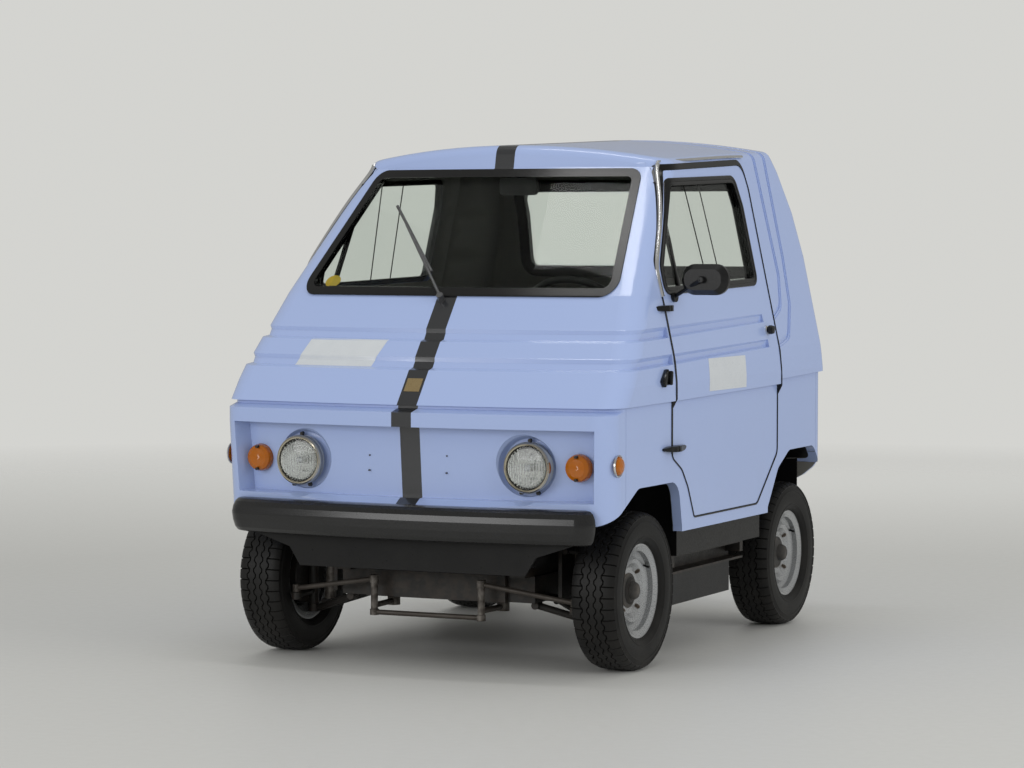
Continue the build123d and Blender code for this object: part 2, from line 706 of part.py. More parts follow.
# Front suspension: cross-member with towers, upper and lower wishbones
rail_x = 300
rail_half = 25
rail_low = 284
rail_high = 324
well_side = 384
lower_pivot_x = 320
upper_pivot_x = 404
damper_foot = Vector(445, front_axle, 168)
damper_head = Vector(417, front_axle, 470)
lower_ball = Vector(kingpin_x, front_axle, kingpin_low - 14)
upper_ball = Vector(kingpin_x, front_axle, kingpin_high + 14)
with BuildPart() as front_suspension:
    add(block((-240, front_axle - 140, 202), (240, front_axle - 92, rail_low)))
    add(block((-252, front_axle + 60, 202), (252, front_axle + 100, 262)))
    for side in (-1, 1):
        x0, x1 = sorted((side * 238, side * 332))
        add(block((x0, front_axle - 122, 202), (x1, front_axle + 100, rail_low)))
        x0, x1 = sorted((side * 330, side * (well_side + 12)))
        add(block((x0, front_axle - 40, 202), (x1, front_axle + 40, 214)))
        x0, x1 = sorted((side * well_side, side * (well_side + 12)))
        add(block((x0, front_axle - 64, 202), (x1, front_axle + 64, 490)))
        x0, x1 = sorted((side * well_side, side * (damper_head.X + 20)))
        add(block((x0, front_axle - 22, 478), (x1, front_axle + 22, 490)))
        x0, x1 = sorted((side * 150, side * 260))
        add(block((x0, idler_pivot.Y - 50, 215), (x1, idler_pivot.Y + 20, 240)))
        add(rod((side * idler_pivot.X, idler_pivot.Y, 193), (side * idler_pivot.X, idler_pivot.Y, 240),
                20))
        for y in (front_axle - 80, front_axle + 80):
            add(rod((side * lower_pivot_x, y - 18, 192), (side * lower_pivot_x, y + 18, 192), 12))
            add(rod((side * lower_pivot_x, y, 192),
                    (side * (lower_ball.X - 20), front_axle, lower_ball.Z), 11))
        add(turned([(0, -12), (18, -12), (18, 13), (0, 13)],
                   (side * lower_ball.X, front_axle, lower_ball.Z), (0, 0, 1)))
        x0, x1 = sorted((side * (damper_foot.X - 18), side * (damper_foot.X + 18)))
        add(block((x0, front_axle - 26, damper_foot.Z - 12), (x1, front_axle + 26, damper_foot.Z)))
        for y in (front_axle - 48, front_axle + 48):
            add(rod((side * upper_pivot_x, y - 15, 360), (side * upper_pivot_x, y + 15, 360), 10))
            add(rod((side * upper_pivot_x, y, 360),
                    (side * (upper_ball.X - 16), front_axle, upper_ball.Z), 8))
        add(turned([(0, -13), (15, -13), (15, 12), (0, 12)],
                   (side * upper_ball.X, front_axle, upper_ball.Z), (0, 0, 1)))
save(front_suspension, "front_suspension")

# Rear axle with its casing, brake drums and leaf springs
spring_x = 300
spring_eye_reach = 196
spring_eye_height = 266
leaf = 7
with BuildPart() as rear_axle_beam:
    add(rod((-rear_track / 2 + 10, rear_axle, tyre_radius),
            (rear_track / 2 - 10, rear_axle, tyre_radius), 26))
    add(turned([(0, -70), (60, -64), (92, -30), (98, 0), (92, 30), (60, 64), (0, 70)],
               (0, rear_axle, tyre_radius), (1, 0, 0)))
    for side in (-1, 1):
        add(turned([(20, -56), (drum_radius - 2, -56), (drum_radius, -50), (drum_radius, -10),
                    (42, -6), (42, 18), (34, 24), (0, 24), (0, -56)],
                   (side * rear_track / 2, rear_axle, tyre_radius), (side, 0, 0)))
        with BuildSketch(Plane.YZ.offset(side * spring_x - 20)):
            with BuildLine():
                top = ThreePointArc((rear_axle - spring_eye_reach, spring_eye_height + leaf),
                                    (rear_axle, tyre_radius - 24),
                                    (rear_axle + spring_eye_reach, spring_eye_height + leaf))
                down = Line(top @ 1, (rear_axle + spring_eye_reach, spring_eye_height - leaf))
                foot = ThreePointArc(down @ 1, (rear_axle, tyre_radius - 52),
                                     (rear_axle - spring_eye_reach, spring_eye_height - leaf))
                Line(foot @ 1, top @ 0)
            make_face()
        extrude(amount=40)
        for y in (rear_axle - spring_eye_reach, rear_axle + spring_eye_reach):
            add(rod((side * spring_x - 22, y, spring_eye_height),
                    (side * spring_x + 22, y, spring_eye_height), 13))
save(rear_axle_beam, "rear_axle")
motor_radius = 68
with BuildPart() as drive_motor:
    add(rod((0, rear_axle - 350, tyre_radius), (0, rear_axle - 60, tyre_radius), motor_radius))
    add(rear_axle_beam.part, mode=Mode.SUBTRACT)
save(drive_motor, "drive_motor")

# Dampers: telescopic, with a coil seat on the front pair
rear_damper_foot = Vector(420, rear_axle - 40, tyre_radius + 27)
rear_damper_head = Vector(410, rear_axle - 60, 409)


def damper(foot, head, tube_radius):
    reach = head - foot
    with BuildPart() as strut:
        add(rod(foot, foot + reach * 0.6, tube_radius))
        add(rod(foot + reach * 0.5, head, 7))
    return strut.part


with BuildPart() as dampers:
    for side in (-1, 1):
        for foot, head in ((damper_foot, damper_head), (rear_damper_foot, rear_damper_head)):
            add(damper(Vector(side * foot.X, foot.Y, foot.Z), Vector(side * head.X, head.Y, head.Z),
                       18))
    add(front_suspension.part, mode=Mode.SUBTRACT)
save(dampers, "dampers")

# Chassis: two long box members with cross tubes and side channels
channel_inner = 548
channel_outer = 606
channel_low = 262
channel_high = 322
channel_wall = 7
pad_half = 45
pad_depth = 6
rail_front = front_axle - 180
rail_back = rear_end - 21
with BuildPart() as chassis_frame:
    for side in (-1, 1):
        x0, x1 = sorted((side * (rail_x - rail_half), side * (rail_x + rail_half)))
        add(block((x0, rail_front, rail_low), (x1, rail_back, rail_high)))
        add(block((x0 + 6, rear_bumper_front - 18, rail_high - 2),
                  (x1 - 6, rear_bumper_front, 452)))
        add(block((x0 + 4, -pad_half, rail_low - pad_depth), (x1 - 4, pad_half, rail_low + 1)))
        x0, x1 = sorted((side * channel_inner, side * (channel_inner + channel_wall)))
        add(block((x0, -356, channel_low), (x1, 262, channel_high)))
        x0, x1 = sorted((side * channel_inner, side * channel_outer))
        for z in (channel_low, channel_high - channel_wall):
            add(block((x0, -356, z), (x1, 262, z + channel_wall)))
        for y in (rear_axle - spring_eye_reach, rear_axle + spring_eye_reach):
            x0, x1 = sorted((side * (spring_x - 20), side * (spring_x + 20)))
            add(block((x0, y - 10, spring_eye_height + 13), (x1, y + 10, rail_low + 1)))
    for y in (-352, 236):
        add(block((-channel_outer, y, rail_low), (channel_outer, y + 26, rail_high)))
    for y in (rail_front, rail_back - 60):
        add(block((-rail_x, y, rail_low + 6), (rail_x, y + 30, rail_high)))
save(chassis_frame, "chassis_frame")

# Batteries hang under the side channels
with BuildPart() as battery_boxes:
    for side in (-1, 1):
        x0, x1 = sorted((side * 340, side * 602))
        add(block((x0, -340, 165), (x1, 150, channel_low)))
save(battery_boxes, "battery_boxes")

# Moulded floor with the inner wheel arches, the seat boxes and the front apron
floor_top = rail_high + 8
deck_top = 420
seat_x = 264
seat_half_width = 194
front_well_line = [(-366, 424), (-404, 548), (-462, 574), (-745, 574), (-890, 502)]
rear_well_line = [(352, 430), (462, 553), (560, 607), (772, 607), (836, 553)]
well_skin = 6


def well_shape(line, foot, inner_x, outer_x, grow):
    """One wheel arch in side view, run sideways and grown by the skin."""
    points = [(line[0][0], foot)] + line + [(line[-1][0], foot)]
    with BuildPart() as shape:
        with BuildSketch(Plane.YZ.offset(inner_x)) as outline:
            with BuildLine():
                Polyline(*points, close=True)
            make_face()
            if grow:
                offset(amount=grow, kind=Kind.INTERSECTION)
        extrude(amount=outer_x - inner_x)
    return shape.part


body_cavity = lower_inner.part & block((-700, -1200, rail_high), (700, 1200, 900))
with BuildPart() as left_wells:
    add(well_shape(front_well_line, rail_high, well_side - well_skin, 640, well_skin))
    add(well_shape(rear_well_line, rail_high, 464, 640, well_skin))
    add(body_cavity, mode=Mode.INTERSECT)
    add(door_prism(624, 900), mode=Mode.SUBTRACT)
with BuildPart() as left_spaces:
    add(well_shape(front_well_line, 200, well_side, 700, 0))
    add(well_shape(rear_well_line, 200, 464 + well_skin, 700, 0))
    add(block((0, front_end - 100, 100), (900, -896, 448)))
    add(rod((464 + well_skin, rear_axle, tyre_radius), (700, rear_axle, tyre_radius),
            tyre_radius + 8))
with BuildPart() as floor_pan:
    add(block((-622, -366, rail_high), (622, 352, floor_top)))
    add(block((-well_side + 2, front_end + 70, rail_high), (well_side - 2, -360, floor_top)))
    add(block((-468, 344, rail_high), (468, 352, deck_top)))
    add(block((-468, 344, deck_top - 8), (468, 830, deck_top)))
    add(block((-468, 822, deck_top - 8), (468, 830, 562)))
    add(block((-468, 822, 554), (468, 870, 562)))
    for side in (-1, 1):
        x0, x1 = sorted((side * 622, side * 630))
        add(block((x0, -366, rail_high), (x1, 352, 436)))
        x0 = side * seat_x - seat_half_width + 10
        add(block((x0, -30, floor_top - 2), (x0 + 2 * seat_half_width - 20, 336, 519)))
    add(left_wells.part)
    add(mirror(left_wells.part, about=Plane.YZ))
    add(body_cavity, mode=Mode.INTERSECT)
    add(left_spaces.part & block((0, -1200, 0), (900, 1200, 900)), mode=Mode.SUBTRACT)
    add(mirror(left_spaces.part & block((0, -1200, 0), (900, 1200, 900)), about=Plane.YZ),
        mode=Mode.SUBTRACT)
    with BuildSketch(Plane.XZ.offset(-front_end - 62)):
        with BuildLine():
            Polyline((-548, 404), (-420, 362), (-384, 305), (384, 305), (420, 362), (548, 404),
                     close=True)
        make_face()
    extrude(amount=-10)
    add(block((-374, front_end + 66, rail_high), (374, -880, floor_top)))
    add(front_panel.part, mode=Mode.SUBTRACT)
save(floor_pan, "floor_pan")

# Steering column: a raked upper tube and a shaft down to the floor
column_rake = 38
column_line = Vector(0, cos(radians(column_rake)), sin(radians(column_rake)))
wheel_hub = Vector(seat_x, -290, 1033)
column_knee = wheel_hub - column_line * 440
with BuildPart() as steering_column:
    add(rod(column_knee, wheel_hub - column_line * 16, 19))
    add(rod(column_knee, (seat_x, -724, rail_high - 20), 12))
    add(turned([(0, -22), (14, -14), (20, 0), (14, 14), (0, 22)], column_knee, column_line))
    add(block((0, -1000, 200), (600, 0, floor_top)), mode=Mode.SUBTRACT)
save(steering_column, "steering_column")

# Dashboard between the side walls, cut round the column
with BuildPart() as dashboard:
    add(side_prism([(-640, 1092), (-494, 1083), (-494, 872), (-600, 860), (-640, 880)])
        & upper_inner.part)
    add(side_prism([(-496, 1083), (-452, 1080), (-430, 1040), (-446, 900), (-496, 872)],
                   -590, 590))
    add(rod(column_knee, wheel_hub, 19.3), mode=Mode.SUBTRACT)
save(dashboard, "dashboard")

# Steering wheel, drawn flat and then set square on the column
steering_radius = 182
grip_radius = 12
spoke_width = 30
with BuildPart() as flat_wheel:
    with BuildSketch(Plane.XZ):
        with Locations((steering_radius, grip_radius)):
            Circle(grip_radius)
    revolve(axis=Axis.Z)
    with BuildSketch(Plane.XY.offset(-14)):
        Circle(42)
    extrude(amount=30)
    for turn in (-28, 208):
        with BuildSketch(Plane.XY.offset(grip_radius - 7)):
            with Locations(Location((0, 0, 0), (0, 0, turn))):
                with Locations((steering_radius / 2, 0)):
                    RectangleRounded(steering_radius - 6, spoke_width, 6)
        extrude(amount=6)
with BuildPart() as steering_wheel:
    add(Plane(origin=wheel_hub, x_dir=(1, 0, 0), z_dir=column_line) * flat_wheel.part)
save(steering_wheel, "steering_wheel")

# Two bucket seats
with BuildPart() as seats:
    for side in (-1, 1):
        x0 = side * seat_x - seat_half_width
        add(side_prism([(-40, 520), (-60, 600), (-30, 648), (330, 610), (346, 520)],
                       x0, x0 + 2 * seat_half_width, radius=20))
        add(side_prism([(364, 421), (354, 560), (300, 668), (392, 1108), (418, 1122),
                        (462, 1108), (400, 640), (412, 421)],
                       x0, x0 + 2 * seat_half_width, radius=12))
save(seats, "seats")

# Interior mirror on a stalk from the roof
with BuildPart() as interior_mirror:
    with BuildSketch(Plane.XZ.offset(296)):
        with Locations((48, 1478)):
            RectangleRounded(130, 54, 14)
    extrude(amount=-18)
    add(rod((40, -284, 1492), (22, -222, 1598), 5) - upper_body.part)
save(interior_mirror, "interior_mirror")

# Wiper, stopped part way across the glass
screen_lean = atan2(403, screen_top_height - scuttle_height)


def on_screen(x, z, lift):
    """Point above the windscreen's outer face at a place in front view."""
    y = level_value(upper_front, z) + front_bow * (x / level_value(upper_width, z)) ** 2
    return Vector(x, y - lift * cos(screen_lean), z + lift * sin(screen_lean))


with BuildPart() as wiper:
    add(rod(on_screen(-14, 1122, -6), on_screen(-14, 1122, 26), 11))
    add(rod(on_screen(-14, 1122, 20), on_screen(-246, 1341, 23), 4.5))
    add(rod(on_screen(-80, 1197, 17), on_screen(-318, 1404, 17), 5))
    add(upper_outer.part, mode=Mode.SUBTRACT)
save(wiper, "wiper")

# Hinges outside the skin, on an axis that leans in with the upper panel
hinge_y = door_front - 2
hinge_high = Vector(656, hinge_y, 1100)
hinge_low = Vector(684, hinge_y, 668)
hinge_line = (hinge_high - hinge_low).normalized()
barrel_radius = 7.5
pin_radius = 3.5
leaf_half = 9
bracket_reach = 70
strap_reach = 108
hinge_places = [(hinge_high, 622), (hinge_low, lower_half_width)]


def leaf(centre, skin_x, way, reach):
    """Tapered strap from the skin to the barrel, with a web at half of its height."""
    root_x = skin_x if skin_x > centre.X - 30 else skin_x - 6
    with BuildPart() as strap:
        with BuildSketch(Plane.XY.offset(centre.Z - leaf_half)):
            with BuildLine():
                Polyline((root_x, hinge_y + way * reach), (root_x + 7, hinge_y + way * reach),
                         (centre.X + 5, hinge_y + way * 16), (centre.X + 5, hinge_y + way * 9),
                         (root_x, hinge_y + way * 9), close=True)
            make_face()
        extrude(amount=2 * leaf_half)
        add(side_prism([(hinge_y + way * 8, centre.Z - leaf_half),
                        (hinge_y + way * (reach - 30), centre.Z - leaf_half + 1),
                        (hinge_y + way * (reach - 4), centre.Z - 4),
                        (hinge_y + way * (reach + 1), centre.Z),
                        (hinge_y + way * (reach - 4), centre.Z + 4),
                        (hinge_y + way * (reach - 30), centre.Z + leaf_half - 1),
                        (hinge_y + way * 8, centre.Z + leaf_half)]), mode=Mode.INTERSECT)
        y0, y1 = sorted((hinge_y + way * 3, hinge_y + way * 10))
        z0, z1 = sorted((centre.Z + way, centre.Z + way * leaf_half))
        add(block((centre.X - 6, y0, z0), (centre.X + 5, y1, z1)))
    return strap.part


with BuildPart() as hinge_brackets:
    for centre, skin_x in hinge_places:
        add(rod(centre - hinge_line * leaf_half, centre - hinge_line * 0.6, barrel_radius))
        add(rod(centre - hinge_line * 2, centre + hinge_line * (leaf_half - 1), pin_radius))
        add(leaf(centre, skin_x, -1, bracket_reach))
    add(upper_outer.part, mode=Mode.SUBTRACT)
    mirror(about=Plane.YZ)
save(hinge_brackets, "hinge_brackets")
with BuildPart() as door_fittings:
    for centre, skin_x in hinge_places:
        add(rod(centre, centre + hinge_line * leaf_half, barrel_radius))
        add(leaf(centre, skin_x, 1, strap_reach))
        add(rod(centre - hinge_line * 2, centre + hinge_line * (leaf_half + 3), pin_radius + 0.2),
            mode=Mode.SUBTRACT)
    add(turned([(0, 30), (13, 28), (15, 20), (15, 12), (8, 10), (8, -4), (0, -4)],
               (650, 352, 1012), (1, 0, 0)))
    add(upper_outer.part, mode=Mode.SUBTRACT)
save_pair(door_fittings.part, "door_fittings")

# Mirror on the left door, on an arm that crosses in front of its back
with BuildPart() as door_mirror:
    add(rod((616, -396, 1132), (640, -398, 1132), 15))
    add(rod((632, -397, 1133), (742, -450, 1188), 6))
    add(turned([(0, -16), (8, -16), (11, -8), (11, 8), (0, 8)], (742, -438, 1188), (0, 1, 0)))
    with BuildSketch(Plane.XZ.offset(398)):
        with Locations((742, 1188)):
            RectangleRounded(154, 96, 44)
    extrude(amount=14)
    with BuildSketch(Plane.XZ.offset(412)):
        with Locations((742, 1188)):
            RectangleRounded(154, 96, 44)
    extrude(amount=24, taper=34)
    add(upper_outer.part, mode=Mode.SUBTRACT)
save(door_mirror, "door_mirror")
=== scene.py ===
import math

import bmesh
import bpy
from mathutils import Matrix, Vector


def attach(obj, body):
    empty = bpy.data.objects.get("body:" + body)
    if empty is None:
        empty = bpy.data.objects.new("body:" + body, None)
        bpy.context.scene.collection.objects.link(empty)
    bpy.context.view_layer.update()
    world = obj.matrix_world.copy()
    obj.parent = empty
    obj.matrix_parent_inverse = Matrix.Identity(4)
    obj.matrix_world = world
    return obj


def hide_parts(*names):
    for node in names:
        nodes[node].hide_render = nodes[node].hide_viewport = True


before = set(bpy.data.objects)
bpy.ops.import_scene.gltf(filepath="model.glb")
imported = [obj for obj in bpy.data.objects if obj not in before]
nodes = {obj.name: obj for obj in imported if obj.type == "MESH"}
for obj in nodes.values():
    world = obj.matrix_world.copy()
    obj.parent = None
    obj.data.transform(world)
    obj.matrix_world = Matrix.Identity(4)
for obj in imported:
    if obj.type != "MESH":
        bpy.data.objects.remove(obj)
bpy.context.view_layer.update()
print("frame loaded")


def addNode(tree, kind, **values):
    made = tree.nodes.new(kind)
    for name, value in values.items():
        setattr(made, name, value)
    return made


def feed(tree, socket, value):  # a number, a colour or another node's output
    if isinstance(value, (int, float)):
        socket.default_value = value
    elif isinstance(value, tuple):
        socket.default_value = (*value, 1) if len(socket.default_value) == 4 else value
    elif value is not None:
        tree.links.new(value, socket)


def mathNode(tree, operation, first, second=None, clamp=False):
    made = addNode(tree, "ShaderNodeMath", operation=operation, use_clamp=clamp)
    for socket, value in zip(made.inputs, (first, second)):
        feed(tree, socket, value)
    return made.outputs[0]


def mixColour(tree, factor, first, second):
    made = addNode(tree, "ShaderNodeMix", data_type="RGBA")
    for socket, value in ((made.inputs[0], factor), (made.inputs[6], first), (made.inputs[7], second)):
        feed(tree, socket, value)
    return made.outputs[2]


def rampValue(tree, value, low, high, start=0.0, end=1.0):
    made = addNode(tree, "ShaderNodeMapRange")
    feed(tree, made.inputs[0], value)
    for socket, number in zip(made.inputs[1:5], (low, high, start, end)):
        socket.default_value = number
    return made.outputs[0]


def objectAxes(tree):
    place = addNode(tree, "ShaderNodeTexCoord")
    parts = addNode(tree, "ShaderNodeSeparateXYZ")
    tree.links.new(place.outputs["Object"], parts.inputs[0])
    return place.outputs["Object"], parts.outputs


def objectNoise(tree, place, scale, detail=2):
    noise = addNode(tree, "ShaderNodeTexNoise")
    tree.links.new(place, noise.inputs["Vector"])
    feed(tree, noise.inputs["Scale"], scale)
    feed(tree, noise.inputs["Detail"], detail)
    return noise.outputs["Fac"]


def newGroup(name, inputs, outputs):
    group = bpy.data.node_groups.new(name, "ShaderNodeTree")
    for label, value in inputs:
        socket = group.interface.new_socket(name=label, in_out="INPUT", socket_type="NodeSocketFloat")
        socket.default_value = value
    for label in outputs:
        group.interface.new_socket(name=label, in_out="OUTPUT", socket_type="NodeSocketFloat")
    return group, group.nodes.new("NodeGroupInput"), group.nodes.new("NodeGroupOutput")


# scales and limits of the noise in the three groups
noises = {"grainDetail": 4, "dustScale": 14, "dustDetail": 6, "dustSpots": (0.3, 0.75), "edgeScale": 45,
              "edgeTurn": (0.52, 0.6), "edgeSpots": (0.4, 0.65)}

# grain: fine noise for bump and roughness, and wide patches for colour
grainGroup, grainIn, grainOut = newGroup("surfaceGrain", [("Fine", 200.0), ("Wide", 5.0)], ["Fine", "Wide"])
grainPlace = addNode(grainGroup, "ShaderNodeTexCoord")
for scale, port in zip(grainIn.outputs, grainOut.inputs[:2]):
    place = grainPlace.outputs["Object"]
    feed(grainGroup, port, objectNoise(grainGroup, place, scale, noises["grainDetail"]))

# road dust: strongest near the ground, broken up by noise
dustGroup, dustIn, dustOut = newGroup("roadDust", [("Top", 0.5), ("Amount", 0.5)], ["Dust"])
dustPlace, dustAxes = objectAxes(dustGroup)
dustNoise = objectNoise(dustGroup, dustPlace, noises["dustScale"], noises["dustDetail"])
dustRise = mathNode(dustGroup, "DIVIDE", dustAxes[2], dustIn.outputs[0])
dustFall = mathNode(dustGroup, "SUBTRACT", 1.0, dustRise, clamp=True)
dustSpots = rampValue(dustGroup, dustNoise, *noises["dustSpots"])
dustBroken = mathNode(dustGroup, "MULTIPLY", dustFall, dustSpots)
dustGroup.links.new(mathNode(dustGroup, "MULTIPLY", dustBroken, dustIn.outputs[1]), dustOut.inputs[0])

# worn edges: light where the surface turns sharply outwards
edgeGroup, edgeIn, edgeOut = newGroup("edgeWear", [("Amount", 0.5)], ["Wear"])
edgeGeometry = addNode(edgeGroup, "ShaderNodeNewGeometry")
edgePlace = addNode(edgeGroup, "ShaderNodeTexCoord")
edgeNoise = objectNoise(edgeGroup, edgePlace.outputs["Object"], noises["edgeScale"])
edgeSharp = rampValue(edgeGroup, edgeGeometry.outputs["Pointiness"], *noises["edgeTurn"])
edgeSpots = rampValue(edgeGroup, edgeNoise, *noises["edgeSpots"])
edgeBroken = mathNode(edgeGroup, "MULTIPLY", edgeSharp, edgeSpots)
edgeGroup.links.new(mathNode(edgeGroup, "MULTIPLY", edgeBroken, edgeIn.outputs[0]), edgeOut.inputs[0])


def placeGroup(tree, group, **values):
    made = addNode(tree, "ShaderNodeGroup", node_tree=group)
    for name, value in values.items():
        made.inputs[name].default_value = value
    return made.outputs


# what a finish has where its own settings don't say otherwise
usualLook = {
    "fine": 250, "wide": 5, "rough": 0.5, "spread": 0.08, "metal": 0.0, "gloss": 0.5, "sheen": 0.0,
    "coat": 0.0, "coatRough": 0.1, "bump": 0.0, "bumpDepth": 0.0006, "wear": 0.0,
    "wearColour": (0.3, 0.3, 0.3), "dust": 0.0, "dustTop": 0.6, "dustColour": (0.17, 0.155, 0.135),
    "dustRough": 0.9, "grainSpan": (0.2, 0.8),
}
usualGlass = {"fine": 60, "wide": 4, "clear": 1.0, "coat": 0.0, "grainSpan": (0.2, 0.8), "roughest": 2.5}


def startMaterial(name, look):
    made = bpy.data.materials.new(name)
    made.use_nodes = True
    tree = made.node_tree
    grain = placeGroup(tree, grainGroup, Fine=look["fine"], Wide=look["wide"])
    return made, tree, tree.nodes["Principled BSDF"], grain


def newMaterial(name, ownLook, mask=None, maskColour=None):
    look = {"second": ownLook["colour"], **usualLook, **ownLook}
    made, tree, shader, grain = startMaterial(name, look)
    colour = mixColour(tree, grain[1], look["colour"], look["second"])
    if look["wear"]:
        wear = placeGroup(tree, edgeGroup, Amount=look["wear"])
        colour = mixColour(tree, wear[0], colour, look["wearColour"])
    if mask:
        colour = mixColour(tree, mask(tree), colour, maskColour)
    rough, spread = look["rough"], look["spread"]
    roughness = rampValue(tree, grain[0], *look["grainSpan"], rough - spread, rough + spread)
    if look["dust"]:
        dust = placeGroup(tree, dustGroup, Top=look["dustTop"], Amount=look["dust"])
        colour = mixColour(tree, dust[0], colour, look["dustColour"])
        dulled = mathNode(tree, "MULTIPLY", dust[0], look["dustRough"])
        roughness = mathNode(tree, "MAXIMUM", roughness, dulled)
    feed(tree, shader.inputs["Base Color"], colour)
    feed(tree, shader.inputs["Roughness"], roughness)
    for socket, key in (("Metallic", "metal"), ("Coat Weight", "coat"), ("Coat Roughness", "coatRough"),
                        ("Specular IOR Level", "gloss"), ("Sheen Weight", "sheen")):
        shader.inputs[socket].default_value = look[key]
    if look["bump"]:
        bump = addNode(tree, "ShaderNodeBump")
        bump.inputs["Strength"].default_value = look["bump"]
        bump.inputs["Distance"].default_value = look["bumpDepth"]
        feed(tree, bump.inputs["Height"], grain[0])
        feed(tree, shader.inputs["Normal"], bump.outputs[0])
    return made


def clearMaterial(name, ownLook):
    look = {**usualGlass, **ownLook}
    made, tree, shader, grain = startMaterial(name, look)
    rough = look["rough"]
    feed(tree, shader.inputs["Base Color"], mixColour(tree, grain[1], look["colour"], look["second"]))
    feed(tree, shader.inputs["Roughness"],
         rampValue(tree, grain[0], *look["grainSpan"], rough, rough * look["roughest"]))
    for socket, key in (("Transmission Weight", "clear"), ("IOR", "ior"), ("Coat Weight", "coat")):
        shader.inputs[socket].default_value = look[key]
    return made


# the dark centre stripe, as tape of one width with slightly worn edges
stripe = {"colour": (0.022, 0.023, 0.026), "foot": 0.505, "half": (0.0331, 0.0343), "scale": 260}


def stripeMask(tree):
    place, axes = objectAxes(tree)
    edge = rampValue(tree, objectNoise(tree, place, stripe["scale"]), 0.0, 1.0, *stripe["half"])
    band = mathNode(tree, "LESS_THAN", mathNode(tree, "ABSOLUTE", axes[0]), edge)
    above = mathNode(tree, "GREATER_THAN", axes[2], stripe["foot"])
    return mathNode(tree, "MULTIPLY", band, above)


# finishes of the CAD nodes
paintLook = {
    "colour": (0.352, 0.448, 0.735), "second": (0.366, 0.46, 0.742), "rough": 0.24, "spread": 0.05,
    "fine": 420, "wide": 3, "bump": 0.05, "bumpDepth": 0.0004, "coat": 0.45, "coatRough": 0.06,
    "dust": 0.12, "dustTop": 0.75, "dustColour": (0.3, 0.31, 0.33)}
newMaterial("bodyPaint", {**paintLook, "dust": 0.1}, stripeMask, stripe["colour"])
newMaterial("plainPaint", paintLook)
newMaterial("bumperRubber", {
    "colour": (0.006, 0.006, 0.0065), "second": (0.01, 0.01, 0.0105), "rough": 0.27, "spread": 0.06,
    "gloss": 0.4, "fine": 700, "bump": 0.12, "bumpDepth": 0.0003, "wear": 0.1,
    "wearColour": (0.05, 0.05, 0.05), "dust": 0.03, "dustTop": 0.7, "coat": 0.25, "coatRough": 0.2})
newMaterial("sealRubber", {
    "colour": (0.003, 0.003, 0.0034), "second": (0.005, 0.005, 0.005), "rough": 0.2, "spread": 0.06,
    "gloss": 0.35, "fine": 500, "bump": 0.1, "bumpDepth": 0.0002})
newMaterial("chassisPaint", {
    "colour": (0.008, 0.008, 0.0085), "second": (0.014, 0.0125, 0.011), "rough": 0.45, "spread": 0.15,
    "gloss": 0.3, "fine": 160, "wide": 9, "bump": 0.25, "dust": 0.2, "wear": 0.15,
    "wearColour": (0.12, 0.075, 0.05)})
newMaterial("linkSteel", {
    "colour": (0.06, 0.05, 0.042), "second": (0.028, 0.022, 0.018), "rough": 0.5, "spread": 0.18, "fine": 120,
    "wide": 20, "metal": 0.4, "bump": 0.3, "dust": 0.3, "wear": 0.5, "wearColour": (0.25, 0.23, 0.21)})
newMaterial("floorCoat", {
    "colour": (0.004, 0.004, 0.0045), "second": (0.006, 0.006, 0.006), "rough": 0.34, "spread": 0.1,
    "gloss": 0.22, "fine": 140, "wide": 6, "bump": 0.2, "bumpDepth": 0.001, "dust": 0.06})
newMaterial("trimPlastic", {
    "colour": (0.005, 0.005, 0.0055), "second": (0.008, 0.008, 0.0085), "rough": 0.3, "spread": 0.07,
    "gloss": 0.3, "fine": 900, "bump": 0.2, "bumpDepth": 0.0003, "wear": 0.1, "wearColour": (0.1, 0.1, 0.1)})
newMaterial("wheelPaint", {
    "colour": (0.42, 0.43, 0.44), "second": (0.36, 0.37, 0.38), "rough": 0.28, "metal": 0.55, "fine": 500,
    "wide": 12, "bump": 0.08, "coat": 0.2, "dust": 0.25, "dustTop": 0.5, "wear": 0.2})
newMaterial("tyreRubber", {
    "colour": (0.0065, 0.0065, 0.0068), "second": (0.011, 0.0105, 0.01), "rough": 0.5, "spread": 0.1,
    "gloss": 0.22, "fine": 380, "wide": 12, "bump": 0.25, "bumpDepth": 0.0005, "dust": 0.08, "dustTop": 0.4})
newMaterial("lampChrome", {
    "colour": (0.72, 0.72, 0.73), "second": (0.66, 0.66, 0.67), "rough": 0.1, "spread": 0.05, "metal": 1,
    "fine": 220, "bump": 0.03, "dust": 0.1, "dustTop": 1})
newMaterial("batteryCase", {
    "colour": (0.005, 0.0052, 0.006), "second": (0.008, 0.008, 0.009), "rough": 0.38, "spread": 0.1,
    "gloss": 0.22, "fine": 320, "bump": 0.2, "dust": 0.08, "dustTop": 0.45})
newMaterial("motorCase", {
    "colour": (0.22, 0.22, 0.23), "second": (0.15, 0.15, 0.155), "rough": 0.5, "spread": 0.15, "metal": 0.7,
    "fine": 180, "bump": 0.3, "dust": 0.5})
newMaterial("seatCloth", {
    "colour": (0.02, 0.02, 0.022), "second": (0.03, 0.03, 0.033), "rough": 0.85, "fine": 900, "bump": 0.5,
    "sheen": 0.3})
newMaterial("liningCloth", {
    "colour": (0.15, 0.148, 0.135), "second": (0.18, 0.176, 0.162), "rough": 0.9, "spread": 0.06, "fine": 700,
    "bump": 0.45, "sheen": 0.2})
newMaterial("wiperSteel", {
    "colour": (0.2, 0.2, 0.205), "second": (0.13, 0.13, 0.135), "rough": 0.3, "metal": 0.8, "fine": 400,
    "bump": 0.1})
clearMaterial("windowGlass", {
    "colour": (0.86, 0.89, 0.86), "second": (0.83, 0.87, 0.84), "rough": 0.006, "ior": 1.12})
